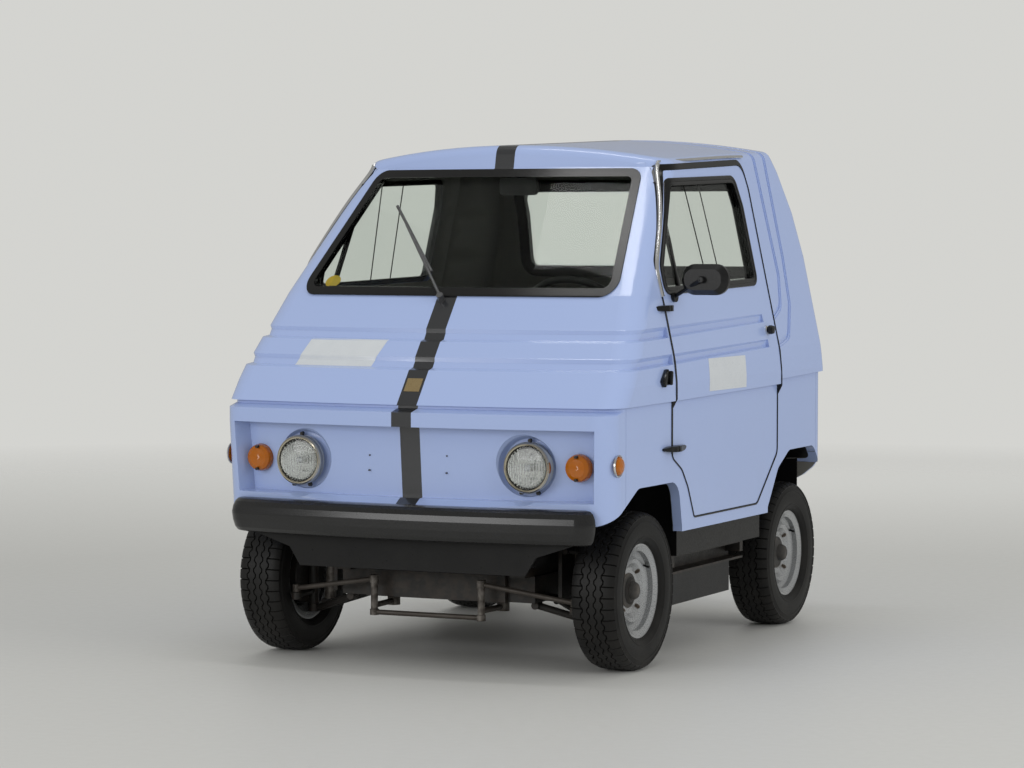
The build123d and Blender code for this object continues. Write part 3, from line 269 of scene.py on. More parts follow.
clearMaterial("lampGlass", {
    "colour": (0.96, 0.97, 0.98), "second": (0.93, 0.95, 0.96), "rough": 0.02, "ior": 1.3})
clearMaterial("amberLens", {
    "colour": (0.68, 0.2, 0.003), "second": (0.56, 0.155, 0.002), "rough": 0.08, "ior": 1.35, "clear": 0.4,
    "coat": 0.5})

# the lower lamp of each rear pair is red
rearLens = {"colour": (0.42, 0.012, 0.01), "top": 0.7}
signalTree = bpy.data.materials["amberLens"].node_tree
signalAxes = objectAxes(signalTree)[1]
signalRear = mathNode(signalTree, "GREATER_THAN", signalAxes[1], 0.0)
signalLow = mathNode(signalTree, "LESS_THAN", signalAxes[2], rearLens["top"])
signalRed = mathNode(signalTree, "MULTIPLY", signalRear, signalLow)
signalColour = signalTree.nodes["Principled BSDF"].inputs["Base Color"]
amberColour = signalColour.links[0].from_socket
feed(signalTree, signalColour, mixColour(signalTree, signalRed, amberColour, rearLens["colour"]))

nodeFinish = {
    "bodyPaint": ["upper_body", "front_panel", "rear_panel"],
    "plainPaint": ["side_panels", "door_left", "door_right"],
    "bumperRubber": ["bumpers"],
    "sealRubber": ["window_seals"],
    "windowGlass": ["fixed_windows", "door_window_left", "door_window_right"],
    "lampChrome": ["headlamp_rims"],
    "lampGlass": ["headlamp_lenses"],
    "amberLens": ["signal_lamps"],
    "chassisPaint": ["chassis_frame", "front_suspension", "rear_axle", "knuckle_left", "knuckle_right"],
    "linkSteel": ["idler_left", "idler_right", "centre_link", "track_rod_left", "track_rod_right", "dampers"],
    "batteryCase": ["battery_boxes"],
    "motorCase": ["drive_motor"],
    "floorCoat": ["floor_pan"],
    "wiperSteel": ["wiper"],
    "trimPlastic": ["steering_column", "dashboard", "steering_wheel", "interior_mirror", "hinge_brackets",
                  "door_fittings_left", "door_fittings_right", "door_mirror"],
    "seatCloth": ["seats"],
    "wheelPaint": [name for name in nodes if name.startswith("rim_")],
    "tyreRubber": [name for name in nodes if name.startswith("tyre_")],
}
for finish, names in nodeFinish.items():
    for name in names:
        for place in nodes[name].material_slots:
            place.material = bpy.data.materials[finish]
print("materials set")


def addObject(name, data):
    made = bpy.data.objects.new(name, data)
    bpy.context.scene.collection.objects.link(made)
    return made


def meshFrom(name, shape):
    mesh = bpy.data.meshes.new(name)
    shape.to_mesh(mesh)
    shape.free()
    return mesh


def newPiece(name, shape, finish, body="body", sharp=35, mend=True):  # a bmesh becomes a piece
    if mend:
        bmesh.ops.remove_doubles(shape, verts=shape.verts, dist=1e-6)
        bmesh.ops.recalc_face_normals(shape, faces=shape.faces)
    mesh = meshFrom(name, shape)
    mesh.shade_smooth()
    mesh.set_sharp_from_angle(angle=math.radians(sharp))
    mesh.materials.append(bpy.data.materials[finish])
    piece = addObject(name, mesh)
    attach(piece, body)
    return piece


def profileRing(shape, profile, origin, axis, steps):  # (radius, along) points spun about an axis
    axis = Vector(axis).normalized()
    side = axis.orthogonal().normalized()
    verts = [shape.verts.new(Vector(origin) + side * radius + axis * along) for radius, along in profile]
    edges = [shape.edges.new(pair) for pair in zip(verts, verts[1:] + verts[:1])]
    bmesh.ops.spin(shape, geom=verts + edges, cent=origin, axis=axis, angle=math.tau, steps=steps,
                   use_merge=True)


def ringPiece(name, profile, origin, axis, steps, finish, body="body"):
    shape = bmesh.new()
    profileRing(shape, profile, origin, axis, steps)
    return newPiece(name, shape, finish, body)


def barAt(shape, start, end, radius, endRadius, sides):
    start, end = Vector(start), Vector(end)
    turned = (end - start).to_track_quat("Z", "Y").to_matrix().to_4x4()
    place = Matrix.Translation((start + end) / 2) @ turned
    bmesh.ops.create_cone(shape, cap_ends=True, segments=sides, radius1=radius, radius2=endRadius,
                          depth=(end - start).length, matrix=place)


def barsPiece(name, bars, finish, body="body", mend=False):  # (start, end, radius, end radius, sides)
    shape = bmesh.new()
    for bar in bars:
        barAt(shape, *bar)
    return newPiece(name, shape, finish, body, mend=mend)


def evaluatedMesh(holder):
    bpy.context.view_layer.update()
    return bpy.data.meshes.new_from_object(holder.evaluated_get(bpy.context.evaluated_depsgraph_get()))


def tubeAlong(name, points, radius, finish, order=3):  # a smooth tube along a few points
    line = bpy.data.curves.new(name + "Line", "CURVE")
    line.dimensions = "3D"
    line.bevel_depth = radius
    line.bevel_resolution = 5
    line.use_fill_caps = True
    line.resolution_u = 8
    spline = line.splines.new("NURBS")
    spline.points.add(len(points) - 1)
    for point, place in zip(spline.points, points):
        point.co = (*place, 1)
    spline.order_u = order
    spline.use_endpoint_u = True
    holder = addObject(name + "Line", line)
    mesh = evaluatedMesh(holder)
    bpy.data.objects.remove(holder)
    shape = bmesh.new()
    shape.from_mesh(mesh)
    bpy.data.meshes.remove(mesh)
    return newPiece(name, shape, finish)


# outline of the upper body, for pieces that lie on its skin
skin = {
    "width": [(0.78, 0.675), (0.87, 0.675), (0.942, 0.668), (1.7, 0.505)],
    "front": [(0.78, -1.006), (0.818, -0.976), (0.917, -0.897), (0.953, -0.857), (0.999, -0.82),
              (1.038, -0.782), (1.14, -0.7), (1.54, -0.297), (1.7, -0.262)],
    "bow": 0.062, "corner": 0.082, "cornerStart": 0.82, "cornerEnd": 0.995, "lowerWidth": 0.66,
    "crease": 0.816, "screenOut": (0.74, 0.67),
}


def levelValue(table, z):
    for (z0, v0), (z1, v1) in zip(table, table[1:]):
        if z <= z1:
            return v0 + (v1 - v0) * (z - z0) / (z1 - z0)
    return table[-1][1]


def sideAt(y, z):  # distance of the flank's skin from the centre plane
    if z < skin["crease"]:
        return skin["lowerWidth"]
    corner = skin["corner"]
    start = levelValue(skin["front"], z) + skin["bow"] + skin["cornerStart"] * corner
    inside = min(max(start - y, 0.0), skin["cornerEnd"] * corner)
    return levelValue(skin["width"], z) - corner + math.sqrt(corner ** 2 - inside ** 2)


def flankPoint(side, y, z, lift):
    return Vector((side * (sideAt(y, z) + lift), y, z))


def screenAt(x, z, lift):  # a place above the windscreen's plane
    y = levelValue(skin["front"], z) + skin["bow"] * (x / levelValue(skin["width"], z)) ** 2
    ahead, above = skin["screenOut"]
    return Vector((x, y - ahead * lift, z + above * lift))


# tyres: carcass with sidewall rings, wavy ribs round the middle and cut blocks at the shoulders
tyreLooks = {
    "radius": 0.243, "steps": 176, "ribDepth": 0.0052, "ribGap": 0.0021, "wave": 0.0036, "ribPitch": 0.022,
    "middleHalf": 0.033, "blockHalf": 0.0672, "blockDrop": 0.013, "blockSteps": 4, "near": 0.001, "sharp": 28,
    "tread": [(-0.0672, -0.0135), (-0.0615, -0.0072), (-0.05, -0.0022), (-0.033, -0.0003), (-0.011, 0),
              (0.011, 0), (0.033, -0.0003), (0.05, -0.0022), (0.0615, -0.0072), (0.0672, -0.0135)],
    "wall": [(0.216, 0.0696), (0.2135, 0.0704), (0.2125, 0.0713), (0.21, 0.0716), (0.209, 0.0708),
             (0.192, 0.0722), (0.176, 0.0716), (0.168, 0.0702), (0.1668, 0.0711), (0.164, 0.0708),
             (0.163, 0.0696), (0.154, 0.0655), (0.1475, 0.059), (0.1425, 0.05)],
    "bore": [(0.1295, 0.04), (0.1295, -0.04)],
}
wheelPlaces = {"front_left": (0.572, -0.65), "front_right": (-0.572, -0.65), "rear_left": (0.562, 0.65),
               "rear_right": (-0.562, 0.65)}


def newTyre(place, centre, side):
    look = tyreLooks
    base, near, half = look["radius"] - look["ribDepth"], look["near"], look["middleHalf"]
    profile = [(base + drop, along) for along, drop in look["tread"]] + look["wall"] + look["bore"]
    profile += [(radius, -along) for radius, along in reversed(look["wall"])]
    shape = bmesh.new()
    profileRing(shape, profile, centre, (side, 0, 0), look["steps"])
    bmesh.ops.remove_doubles(shape, verts=shape.verts, dist=1e-6)
    bmesh.ops.recalc_face_normals(shape, faces=shape.faces)
    step = math.tau / look["steps"]
    for vert in shape.verts:
        spot = vert.co - centre
        if spot.yz.length > base - near and abs(spot.x) < half + near:
            turned = round(math.atan2(spot.z, spot.y) / step)
            line = round(spot.x / look["ribPitch"] + 0.5)
            vert.co.x += look["wave"] * (1 if turned % 4 < 2 else -1) * (1 if line % 2 else -1)
    spots = [(face, face.calc_center_median() - centre) for face in shape.faces]
    groups = {}
    for face, spot in spots:  # blocks at the shoulders
        if half < abs(spot.x) < look["blockHalf"] and spot.yz.length > base - look["blockDrop"]:
            turned = math.floor(math.atan2(spot.z, spot.y) / step / look["blockSteps"])
            groups.setdefault((spot.x > 0, turned), []).append(face)
    for face, spot in spots:  # ribs in the middle
        if abs(spot.x) < half and spot.yz.length > base - near:
            groups.setdefault(round(spot.x / look["ribPitch"]), []).append(face)
    for faces in groups.values():
        bmesh.ops.inset_region(shape, faces=faces, thickness=look["ribGap"], depth=look["ribDepth"],
                               use_even_offset=True, use_boundary=True)
    piece = newPiece(f"tyreTread_{place}", shape, "tyreRubber", f"wheel_{place}",
                     look["sharp"])
    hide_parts(f"tyre_{place}")


# wheel centres: dark hub cap, four bolts with washers, and a valve
wheelLooks = {
    "cap": [(0.0002, 0.052), (0.014, 0.051), (0.022, 0.047), (0.0265, 0.04), (0.03, 0.0285),
            (0.041, 0.0245), (0.053, 0.0195), (0.054, 0.0155), (0.0002, 0.0155)],
    "bolts": 4, "boltCircle": 0.079,
    "bolt": [(0.0145, 0.0215, 0.011475, 0.009775, 24), (0.0205, 0.0275, 0.0085, 0.00765, 6),
             (0.0265, 0.0305, 0.00425, 0.00357, 16)],
    "valveAngle": 0.62, "valve": [(0.118, 0.026), (0.112, 0.042), (0.111, 0.048)],
    "valveRadii": [(0.0036, 0.003), (0.004, 0.0036)],
}


def newWheelCentre(place, centre, side):
    axis = Vector((side, 0, 0))
    body = f"wheel_{place}"
    ringPiece(f"hubCap_{place}", wheelLooks["cap"], centre, axis, 40, "hubPaint", body)
    bars = []
    for number in range(wheelLooks["bolts"]):
        angle = math.tau * (number + 0.5) / wheelLooks["bolts"]
        spot = centre + Vector((0, math.cos(angle), math.sin(angle))) * wheelLooks["boltCircle"]
        bars += [(spot + axis * start, spot + axis * end, *rest) for start, end, *rest in wheelLooks["bolt"]]
    barsPiece(f"wheelBolts_{place}", bars, "boltSteel", body)
    angle = wheelLooks["valveAngle"]
    spoke = Vector((0, math.cos(angle), math.sin(angle)))
    ends = [centre + spoke * out + axis * along for out, along in wheelLooks["valve"]]
    bars = [(*pair, *radii, 16) for pair, radii in zip(zip(ends, ends[1:]), wheelLooks["valveRadii"])]
    barsPiece(f"valve_{place}", bars, "sealRubber", body, mend=True)


newMaterial("hubPaint", {
    "colour": (0.013, 0.013, 0.014), "second": (0.03, 0.028, 0.026), "rough": 0.42, "spread": 0.12,
    "fine": 220, "bump": 0.2, "dust": 0.35, "dustTop": 0.5, "wear": 0.4, "wearColour": (0.16, 0.13, 0.1)})
newMaterial("boltSteel", {
    "colour": (0.2, 0.17, 0.14), "second": (0.1, 0.07, 0.05), "rough": 0.42, "spread": 0.15, "metal": 0.75,
    "fine": 300, "wide": 40, "bump": 0.2, "dust": 0.2, "dustTop": 0.5})
for place, (x, y) in wheelPlaces.items():
    centre, side = Vector((x, y, tyreLooks["radius"])), math.copysign(1, x)
    newTyre(place, centre, side)
    newWheelCentre(place, centre, side)
print("wheels made")


def bentFace(shape, points, radii, plane="side"):  # a flat outline with true fillets, facing outwards
    spots = [Vector((0, a, b)) if plane == "side" else Vector((a, 0, b)) for a, b in points]
    verts = [shape.verts.new(spot) for spot in spots]
    shape.faces.new(verts)
    turns = [(here - before).angle(after - here)
             for before, here, after in zip(spots[-1:] + spots[:-1], spots, spots[1:] + spots[:1])]
    for vert, turn, radius in zip(verts, turns, radii):
        bmesh.ops.bevel(shape, geom=[vert], offset=radius * math.tan(turn / 2), segments=6, profile=0.5,
                        affect="VERTICES", material=-1)
    face = max(shape.faces, key=lambda one: one.calc_area())
    face.normal_update()
    if (face.normal.x if plane == "side" else -face.normal.y) < 0:
        bmesh.ops.reverse_faces(shape, faces=[face])
    return face


def cutLong(shape, face, reach):  # extra points on long edges, so that the outline can follow a curve
    for edge in list(face.edges):
        cuts = int(edge.calc_length() / reach)
        if cuts:
            bmesh.ops.subdivide_edges(shape, edges=[edge], cuts=cuts)


def steppedRing(shape, face, steps):  # insets with rises make a ring's profile, and its underside is closed
    for thickness, rise in steps:
        bmesh.ops.inset_individual(shape, faces=[face], thickness=thickness, depth=rise, use_even_offset=True)
    bmesh.ops.delete(shape, geom=[face], context="FACES")
    rims = [edge for edge in shape.edges if edge.is_boundary]
    bmesh.ops.bridge_loops(shape, edges=rims)


def layOnFlank(shape, side, lift):
    for vert in shape.verts:
        vert.co.x = side * (sideAt(vert.co.y, vert.co.z) + vert.co.x + lift)


def layOnNode(shape, name, direction, lift, start=1.5):  # every vertex drops along a direction onto a node
    way = Vector(direction).normalized()
    there = nodes[name].matrix_world
    home = there.inverted()
    for vert in shape.verts:
        hit, place = nodes[name].ray_cast(home @ (vert.co - way * start), home.to_3x3() @ way)[:2]
        if hit:
            vert.co = there @ place - way * lift


def flatBar(shape, start, end, out, width, thick, bevel):
    start, end, out = Vector(start), Vector(end), Vector(out)
    run = (end - start).normalized()
    across = out.cross(run).normalized()
    out = run.cross(across)
    turned = Matrix((across * width, run * (end - start).length, out * thick)).transposed().to_4x4()
    place = Matrix.Translation((start + end) / 2) @ turned
    made = bmesh.ops.create_cube(shape, size=1.0, matrix=place)["verts"]
    edges = list({edge for vert in made for edge in vert.link_edges})
    bmesh.ops.bevel(shape, geom=edges, offset=bevel, segments=2, profile=0.5, affect="EDGES", material=-1)



# finishes of the small pieces
newMaterial("brightMetal", {
    "colour": (0.78, 0.78, 0.78), "second": (0.66, 0.66, 0.66), "rough": 0.2, "spread": 0.07, "metal": 1,
    "fine": 260, "wide": 30, "bump": 0.05, "dust": 0.1, "dustTop": 1})
newMaterial("agedChrome", {
    "colour": (0.66, 0.62, 0.52), "second": (0.5, 0.44, 0.32), "rough": 0.14, "spread": 0.07, "metal": 1,
    "fine": 200, "wide": 26, "bump": 0.05, "dust": 0.1, "dustTop": 1})
newMaterial("reflectorMetal", {
    "colour": (0.8, 0.8, 0.78), "second": (0.68, 0.66, 0.6), "rough": 0.09, "spread": 0.05, "metal": 1,
    "fine": 70, "wide": 12, "bump": 0.3, "bumpDepth": 0.002})
newMaterial("plateWhite", {
    "colour": (0.62, 0.65, 0.68), "second": (0.55, 0.58, 0.62), "rough": 0.3, "spread": 0.06, "fine": 300,
    "wide": 22, "bump": 0.05, "coat": 0.3})
newMaterial("badgeBrass", {
    "colour": (0.55, 0.42, 0.22), "second": (0.45, 0.33, 0.17), "rough": 0.28, "metal": 0.9, "fine": 300,
    "wide": 60, "bump": 0.1})
newMaterial("discYellow", {
    "colour": (0.72, 0.5, 0.03), "second": (0.64, 0.44, 0.02), "rough": 0.4, "spread": 0.06, "fine": 300,
    "bump": 0.05})
newMaterial("screwDark", {
    "colour": (0.035, 0.033, 0.03), "second": (0.02, 0.018, 0.016), "rough": 0.38, "spread": 0.1,
    "metal": 0.5, "fine": 400, "bump": 0.15})
newMaterial("mirrorFace", {
    "colour": (0.86, 0.87, 0.88), "second": (0.82, 0.83, 0.84), "rough": 0.02, "spread": 0.015, "metal": 1,
    "fine": 90})

# seals round the door openings, clear of the doors
doorEdge = {
    "points": [(-0.484, 1.12), (-0.484, 0.64), (-0.4, 0.596), (-0.352, 0.54), (-0.298, 0.44),
               (0.25, 0.44), (0.438, 0.6), (0.438, 1.48), (0.412, 1.577), (-0.24, 1.548),
               (-0.403, 1.342), (-0.497, 1.234)],
    "radii": [0.03, 0.04, 0.07, 0.09, 0.016, 0.04, 0.04, 0.06, 0.06, 0.02, 0.03, 0.06],
    "width": 0.0045, "shift": Vector((0, 0.005, -0.014)), "lift": 0.0025, "depth": 0.022, "reach": 0.03,
}


def newDoorSeal(label, side):
    shape = bmesh.new()
    face = bentFace(shape, doorEdge["points"], doorEdge["radii"])
    cutLong(shape, face, doorEdge["reach"])
    bmesh.ops.inset_individual(shape, faces=[face], thickness=doorEdge["width"], use_even_offset=True)
    moves = []
    for vert in face.verts:
        others = [edge.other_vert(vert) for edge in vert.link_edges]
        outer = [other for other in others if other not in face.verts][0]
        if (outer.co - vert.co).dot(doorEdge["shift"]) < 0:
            moves.append(vert)
    for vert in moves:
        vert.co += doorEdge["shift"]
    bmesh.ops.delete(shape, geom=[face], context="FACES")
    raised = bmesh.ops.extrude_face_region(shape, geom=shape.faces[:])["geom"]
    for vert in [one for one in raised if isinstance(one, bmesh.types.BMVert)]:
        vert.co.x -= doorEdge["depth"]
    layOnFlank(shape, side, doorEdge["lift"])
    newPiece(f"doorSeal_{label}", shape, "sealRubber")


# rubber frame of a door's window, its quarter bar and the edges of the sliding panes
doorPane = {
    "points": [(-0.4545, 1.139), (-0.4545, 1.23), (-0.2515, 1.5045), (0.3225, 1.523), (0.352, 1.421),
               (0.3515, 1.158)],
    "radii": [0.038, 0.052, 0.045, 0.042, 0.06, 0.042], "base": -0.011, "reach": 0.04,
    "steps": [(0.0004, 0.0135), (0.0022, 0.002), (0.0085, 0), (0.0018, -0.002), (0.0018, 0.0012),
              (0.008, 0), (0.0022, -0.0022), (0.0004, -0.0315)],
    "bar": [(-0.279, 1.49, -0.009), (-0.314, 1.158, -0.009)], "barSize": (0.019, 0.014, 0.003),
    "panes": [[(-0.11, 1.508, -0.0085), (-0.062, 1.156, -0.0085)],
              [(0.03, 1.508, -0.0165), (0.066, 1.156, -0.0165)]],
    "paneSize": (0.0035, 0.003, 0.0006), "lean": 0.2,
}


def newWindowFrame(label, side):
    body = f"door_{label}"
    out = (side, 0, doorPane["lean"])
    shape = bmesh.new()
    face = bentFace(shape, doorPane["points"], doorPane["radii"])
    cutLong(shape, face, doorPane["reach"])
    steppedRing(shape, face, doorPane["steps"])
    layOnFlank(shape, side, doorPane["base"])
    newPiece(f"windowFrame_{label}", shape, "sealRubber", body)
    shape = bmesh.new()
    flatBar(shape, *[flankPoint(side, *end) for end in doorPane["bar"]], out, *doorPane["barSize"])
    newPiece(f"quarterBar_{label}", shape, "sealRubber", body)
    shape = bmesh.new()
    for pane in doorPane["panes"]:
        flatBar(shape, *[flankPoint(side, *end) for end in pane], out, *doorPane["paneSize"])
    newPiece(f"paneEdges_{label}", shape, "screwDark", body, mend=False)


# bright strip down each windscreen pillar and the rain rail above each door
trimLines = {
    "strip": [(-0.228, 1.55), (-0.236, 1.54), (-0.286, 1.474), (-0.34, 1.405), (-0.388, 1.344),
              (-0.43, 1.295), (-0.472, 1.245), (-0.488, 1.218), (-0.486, 1.175),
              (-0.481, 1.134)],
    "stripShift": (-0.0022, 0.0014, 0.0022), "stripRadius": 0.0078,
    "rail": [(-0.23, 1.556), (-0.05, 1.566), (0.15, 1.576), (0.33, 1.584), (0.43, 1.586)],
    "railLift": 0.002, "railRadius": 0.0048,
}


def newTrimLines(label, side):
    shiftY, shiftZ, lift = trimLines["stripShift"]
    strip = [flankPoint(side, y + shiftY, z + shiftZ, lift) for y, z in trimLines["strip"]]
    tubeAlong(f"pillarStrip_{label}", strip, trimLines["stripRadius"], "brightMetal", 4)
    rail = [flankPoint(side, y, z, trimLines["railLift"]) for y, z in trimLines["rail"]]
    tubeAlong(f"rainRail_{label}", rail, trimLines["railRadius"], "brightMetal")


# blank plates on the nose and the door, and the blank badge on the stripe
plates = {
    "nosePlate": {
        "low": (-0.445, 0.92), "high": (-0.165, 1.001), "slant": 0.032, "finish": "plateWhite",
        "body": "body", "on": "upper_body", "drop": (0, 1, 0), "cells": (26, 26), "thick": 0.0008},
    "doorPlate_left": {
        "low": (-0.204, 0.833), "high": (0.114, 0.936), "slant": 0.006, "finish": "plateWhite",
        "body": "door_left", "on": "door_left", "drop": (-1, 0, 0), "cells": (16, 8), "thick": 0.0008},
    "stripeBadge": {
        "low": (-0.026, 0.851), "high": (0.026, 0.889), "slant": 0, "finish": "badgeBrass", "body": "body",
        "on": "upper_body", "drop": (0, 1, 0), "cells": (8, 8), "thick": 0.0014},
}


def newPlate(name, plate):
    shape = bmesh.new()
    bmesh.ops.create_grid(shape, x_segments=plate["cells"][0], y_segments=plate["cells"][1], size=0.5)
    low, high = plate["low"], plate["high"]
    for vert in shape.verts:
        along, rise = vert.co.x + 0.5, vert.co.y + 0.5
        first = low[0] + (high[0] - low[0]) * along + plate["slant"] * (rise - 0.5)
        height = low[1] + (high[1] - low[1]) * rise
        vert.co = Vector((0, first, height)) if plate["drop"][0] else Vector((first, 0, height))
    layOnNode(shape, plate["on"], plate["drop"], plate["thick"])
    bmesh.ops.recalc_face_normals(shape, faces=shape.faces)
    if sum(face.normal.dot(Vector(plate["drop"])) for face in shape.faces) > 0:
        bmesh.ops.reverse_faces(shape, faces=shape.faces[:])
    bmesh.ops.solidify(shape, geom=shape.faces[:], thickness=plate["thick"] * 1.4)  # sunk into the skin
    newPiece(name, shape, plate["finish"], plate["body"], sharp=50)


for name, plate in plates.items():
    newPlate(name, plate)

# dark rods in the empty holes of a plate on the front panel, as painted shade where the holes are, and a
# plain disc behind the windscreen
plateHoleShade = {"spots": [(-0.1414, 0.6529), (-0.1438, 0.6066), (0.1221, 0.658), (0.1198, 0.6061)],
              "ends": (-0.94, -0.9535), "rest": (0.0026, 0.0026, 14)}
# painted shade: the dark screw finish on these rods stands in for the shade inside the empty holes
holeShadeRods = [(*[(x, y, z) for y in plateHoleShade["ends"]], *plateHoleShade["rest"]) for x, z in plateHoleShade["spots"]]
barsPiece("plateHoleShade", holeShadeRods, "screwDark")

screenDisc = {"place": (-0.455, 1.187, -0.017), "step": Vector((0, -0.707, 0.707)) * 0.0008,
              "rest": (0.026, 0.026, 40)}
discCentre = screenAt(*screenDisc["place"])
disc = (discCentre, discCentre + screenDisc["step"], *screenDisc["rest"])
barsPiece("screenDisc", [disc], "discYellow", mend=True)
print("seals and plates made")

# headlamps: reflector, bulb shield on three legs, domed lens with flutes, rim and its screws
headlamp = {
    "centre": (0.389, -0.93, 0.63),
    "bowl": [(0.0002, 0.0025), (0.012, 0.003), (0.026, 0.0055), (0.04, 0.01), (0.052, 0.0155),
             (0.062, 0.0215), (0.0665, 0.0245)],
    "bowlThick": 0.0014,
    "shield": [(0.0002, 0.022), (0.006, 0.0215), (0.0095, 0.0185), (0.01, 0.012), (0.0092, 0.012),
               (0.0085, 0.0175), (0.0002, 0.02)],
    "legAngles": (0.4, 2.5, 4.6), "legEnds": [(0.009, 0.013), (0.027, 0.007)], "legRadius": 0.0011,
    "lensTop": 0.0325, "lensDrop": 0.0085, "lensReach": 0.067, "lensThick": 0.0028,
    "lensRadii": [0.0002, 0.012, 0.024, 0.036, 0.047, 0.057, 0.0668],
    "flutes": 15, "pitch": 0.0088, "fluteReach": 0.0615, "fluteLeast": 0.012, "fluteRadius": 0.0034,
    "fluteHalves": (-0.48, 0.48),
    "rim": [(0.0662, 0.006), (0.0662, 0.0255), (0.0672, 0.0283), (0.07, 0.03), (0.0722, 0.0292),
            (0.0732, 0.0272), (0.0752, 0.0262), (0.0772, 0.0225), (0.078, 0.016), (0.078, 0.0005),
            (0.074, 0.0005)],
    "screwAngles": (-1.92, -1.22, 1.57), "screwCircle": 0.0815, "screwEnds": (-0.004, 0.0065),
    "screwRadii": (0.0062, 0.005),
}


def lensFront(radius):  # how far the domed lens stands ahead of the lamp's plane
    return headlamp["lensTop"] - headlamp["lensDrop"] * (radius / headlamp["lensReach"]) ** 2


def newHeadlamp(label, side):
    look = headlamp
    x, y, z = look["centre"]
    centre, axis = Vector((side * x, y, z)), Vector((0, -1, 0))
    bowl = look["bowl"] + [(radius, along - look["bowlThick"]) for radius, along in reversed(look["bowl"])]
    ringPiece(f"reflector_{label}", bowl, centre, axis, 64, "reflectorMetal")
    shape = bmesh.new()
    profileRing(shape, look["shield"], centre, axis, 32)
    for angle in look["legAngles"]:
        reach = Vector((math.cos(angle), 0, math.sin(angle)))
        ends = [centre + reach * out + axis * along for out, along in look["legEnds"]]
        barAt(shape, *ends, look["legRadius"], look["legRadius"], 8)
    newPiece(f"bulbShield_{label}", shape, "brightMetal", mend=False)
    front = [(radius, lensFront(radius)) for radius in look["lensRadii"]]
    lens = front + [(radius, along - look["lensThick"]) for radius, along in reversed(front)]
    piece = ringPiece(f"lampLens_{label}", lens, centre, axis, 72, "lampGlass")
    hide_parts("headlamp_lenses")
    flutes, thick = [], look["fluteRadius"]
    for number in range(look["flutes"]):
        across = (number - look["flutes"] // 2) * look["pitch"]
        reach = math.sqrt(max(look["fluteReach"] ** 2 - across ** 2, 0.0))
        if reach < look["fluteLeast"]:
            continue
        for turn in (-1, 0, 1):  # three lengths one above the other
            rises = [(turn + half) * reach * 2 / 3 for half in look["fluteHalves"]]
            ends = [(across, thick - lensFront(math.hypot(across, rise)), rise) for rise in rises]
            flutes.append((*[centre + Vector(end) for end in ends], thick, thick, 10))
    barsPiece(f"lampFlutes_{label}", flutes, "lampGlass")
    rim = look["rim"]
    piece = ringPiece(f"lampRim_{label}", rim, centre, axis, 72, "agedChrome")
    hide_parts("headlamp_rims")
    screws = []
    for angle in look["screwAngles"]:
        spot = centre + Vector((math.cos(angle), 0, math.sin(angle))) * look["screwCircle"]
        screws.append((*[spot + axis * end for end in look["screwEnds"]], *look["screwRadii"], 20))
    barsPiece(f"rimScrews_{label}", screws, "screwDark")


# indicators: two screws on each front lens, and a bright base ring round the repeaters
indicator = {"screws": [(0.544, -0.92, 0.5975), (0.544, -0.92, 0.6665)], "screwEnds": (0.006, -0.0262),
             "screwRadii": (0.0052, 0.0046), "repeater": (0.659, -0.89, 0.64),
             "ring": [(0.03, 0.0), (0.03, 0.004), (0.0318, 0.0052), (0.0335, 0.004), (0.034, 0.0)]}


def newIndicatorParts(label, side):
    screws = [(*[(side * x, y + end, z) for end in indicator["screwEnds"]], *indicator["screwRadii"], 20)
              for x, y, z in indicator["screws"]]
    barsPiece(f"indicatorScrews_{label}", screws, "screwDark")
    x, y, z = indicator["repeater"]
    ringPiece(f"repeaterRing_{label}", indicator["ring"], Vector((side * x, y, z)), (side, 0, 0), 48,
              "brightMetal")


# small fittings on the flanks: rubber stop ahead of the door, and the lock
fittings = {
    "stops": [[(-0.558, 0.908, 0.007), (-0.602, 0.87, 0.007)],
              [(-0.552, 0.91, 0.012), (-0.562, 0.868, 0.01)]],
    "stopSizes": [(0.026, 0.016, 0.004), (0.014, 0.022, 0.003)],
    "lock": [(0.0002, 0.0), (0.013, 0.0), (0.0132, 0.004), (0.011, 0.0066), (0.0055, 0.0074),
             (0.005, 0.0062), (0.0002, 0.0062)],
    "lockPlace": (0.352, 1.012, -0.0012), "lockLean": 0.21,
}


def newFlankFittings(label, side):
    shape = bmesh.new()
    for ends, size in zip(fittings["stops"], fittings["stopSizes"]):
        flatBar(shape, *[flankPoint(side, *end) for end in ends], (side, 0, 0), *size)
    newPiece(f"doorStop_{label}", shape, "sealRubber", mend=False)
    ringPiece(f"doorLock_{label}", fittings["lock"], flankPoint(side, *fittings["lockPlace"]),
              (side, 0, fittings["lockLean"]), 36, "brightMetal", f"door_{label}")



for label, side in (("left", 1), ("right", -1)):
    newDoorSeal(label, side)
    newWindowFrame(label, side)
    newTrimLines(label, side)
    newHeadlamp(label, side)
    newIndicatorParts(label, side)
    newFlankFittings(label, side)
print("lamps and trim made")


# linings: the inner skins of the shell, copied a little way off the painted ones
linings = {
    "pieces": {"shellLining": ("upper_body", "body"), "flankLining": ("side_panels", "body"),
               "tailLining": ("rear_panel", "body"), "doorLining_left": ("door_left", "door_left"),
               "doorLining_right": ("door_right", "door_right")},
    "lift": 0.0015, "middle": Vector((0, 0.1, 0.9)), "facing": 0.3, "reach": 0.35, "start": 0.001,
}


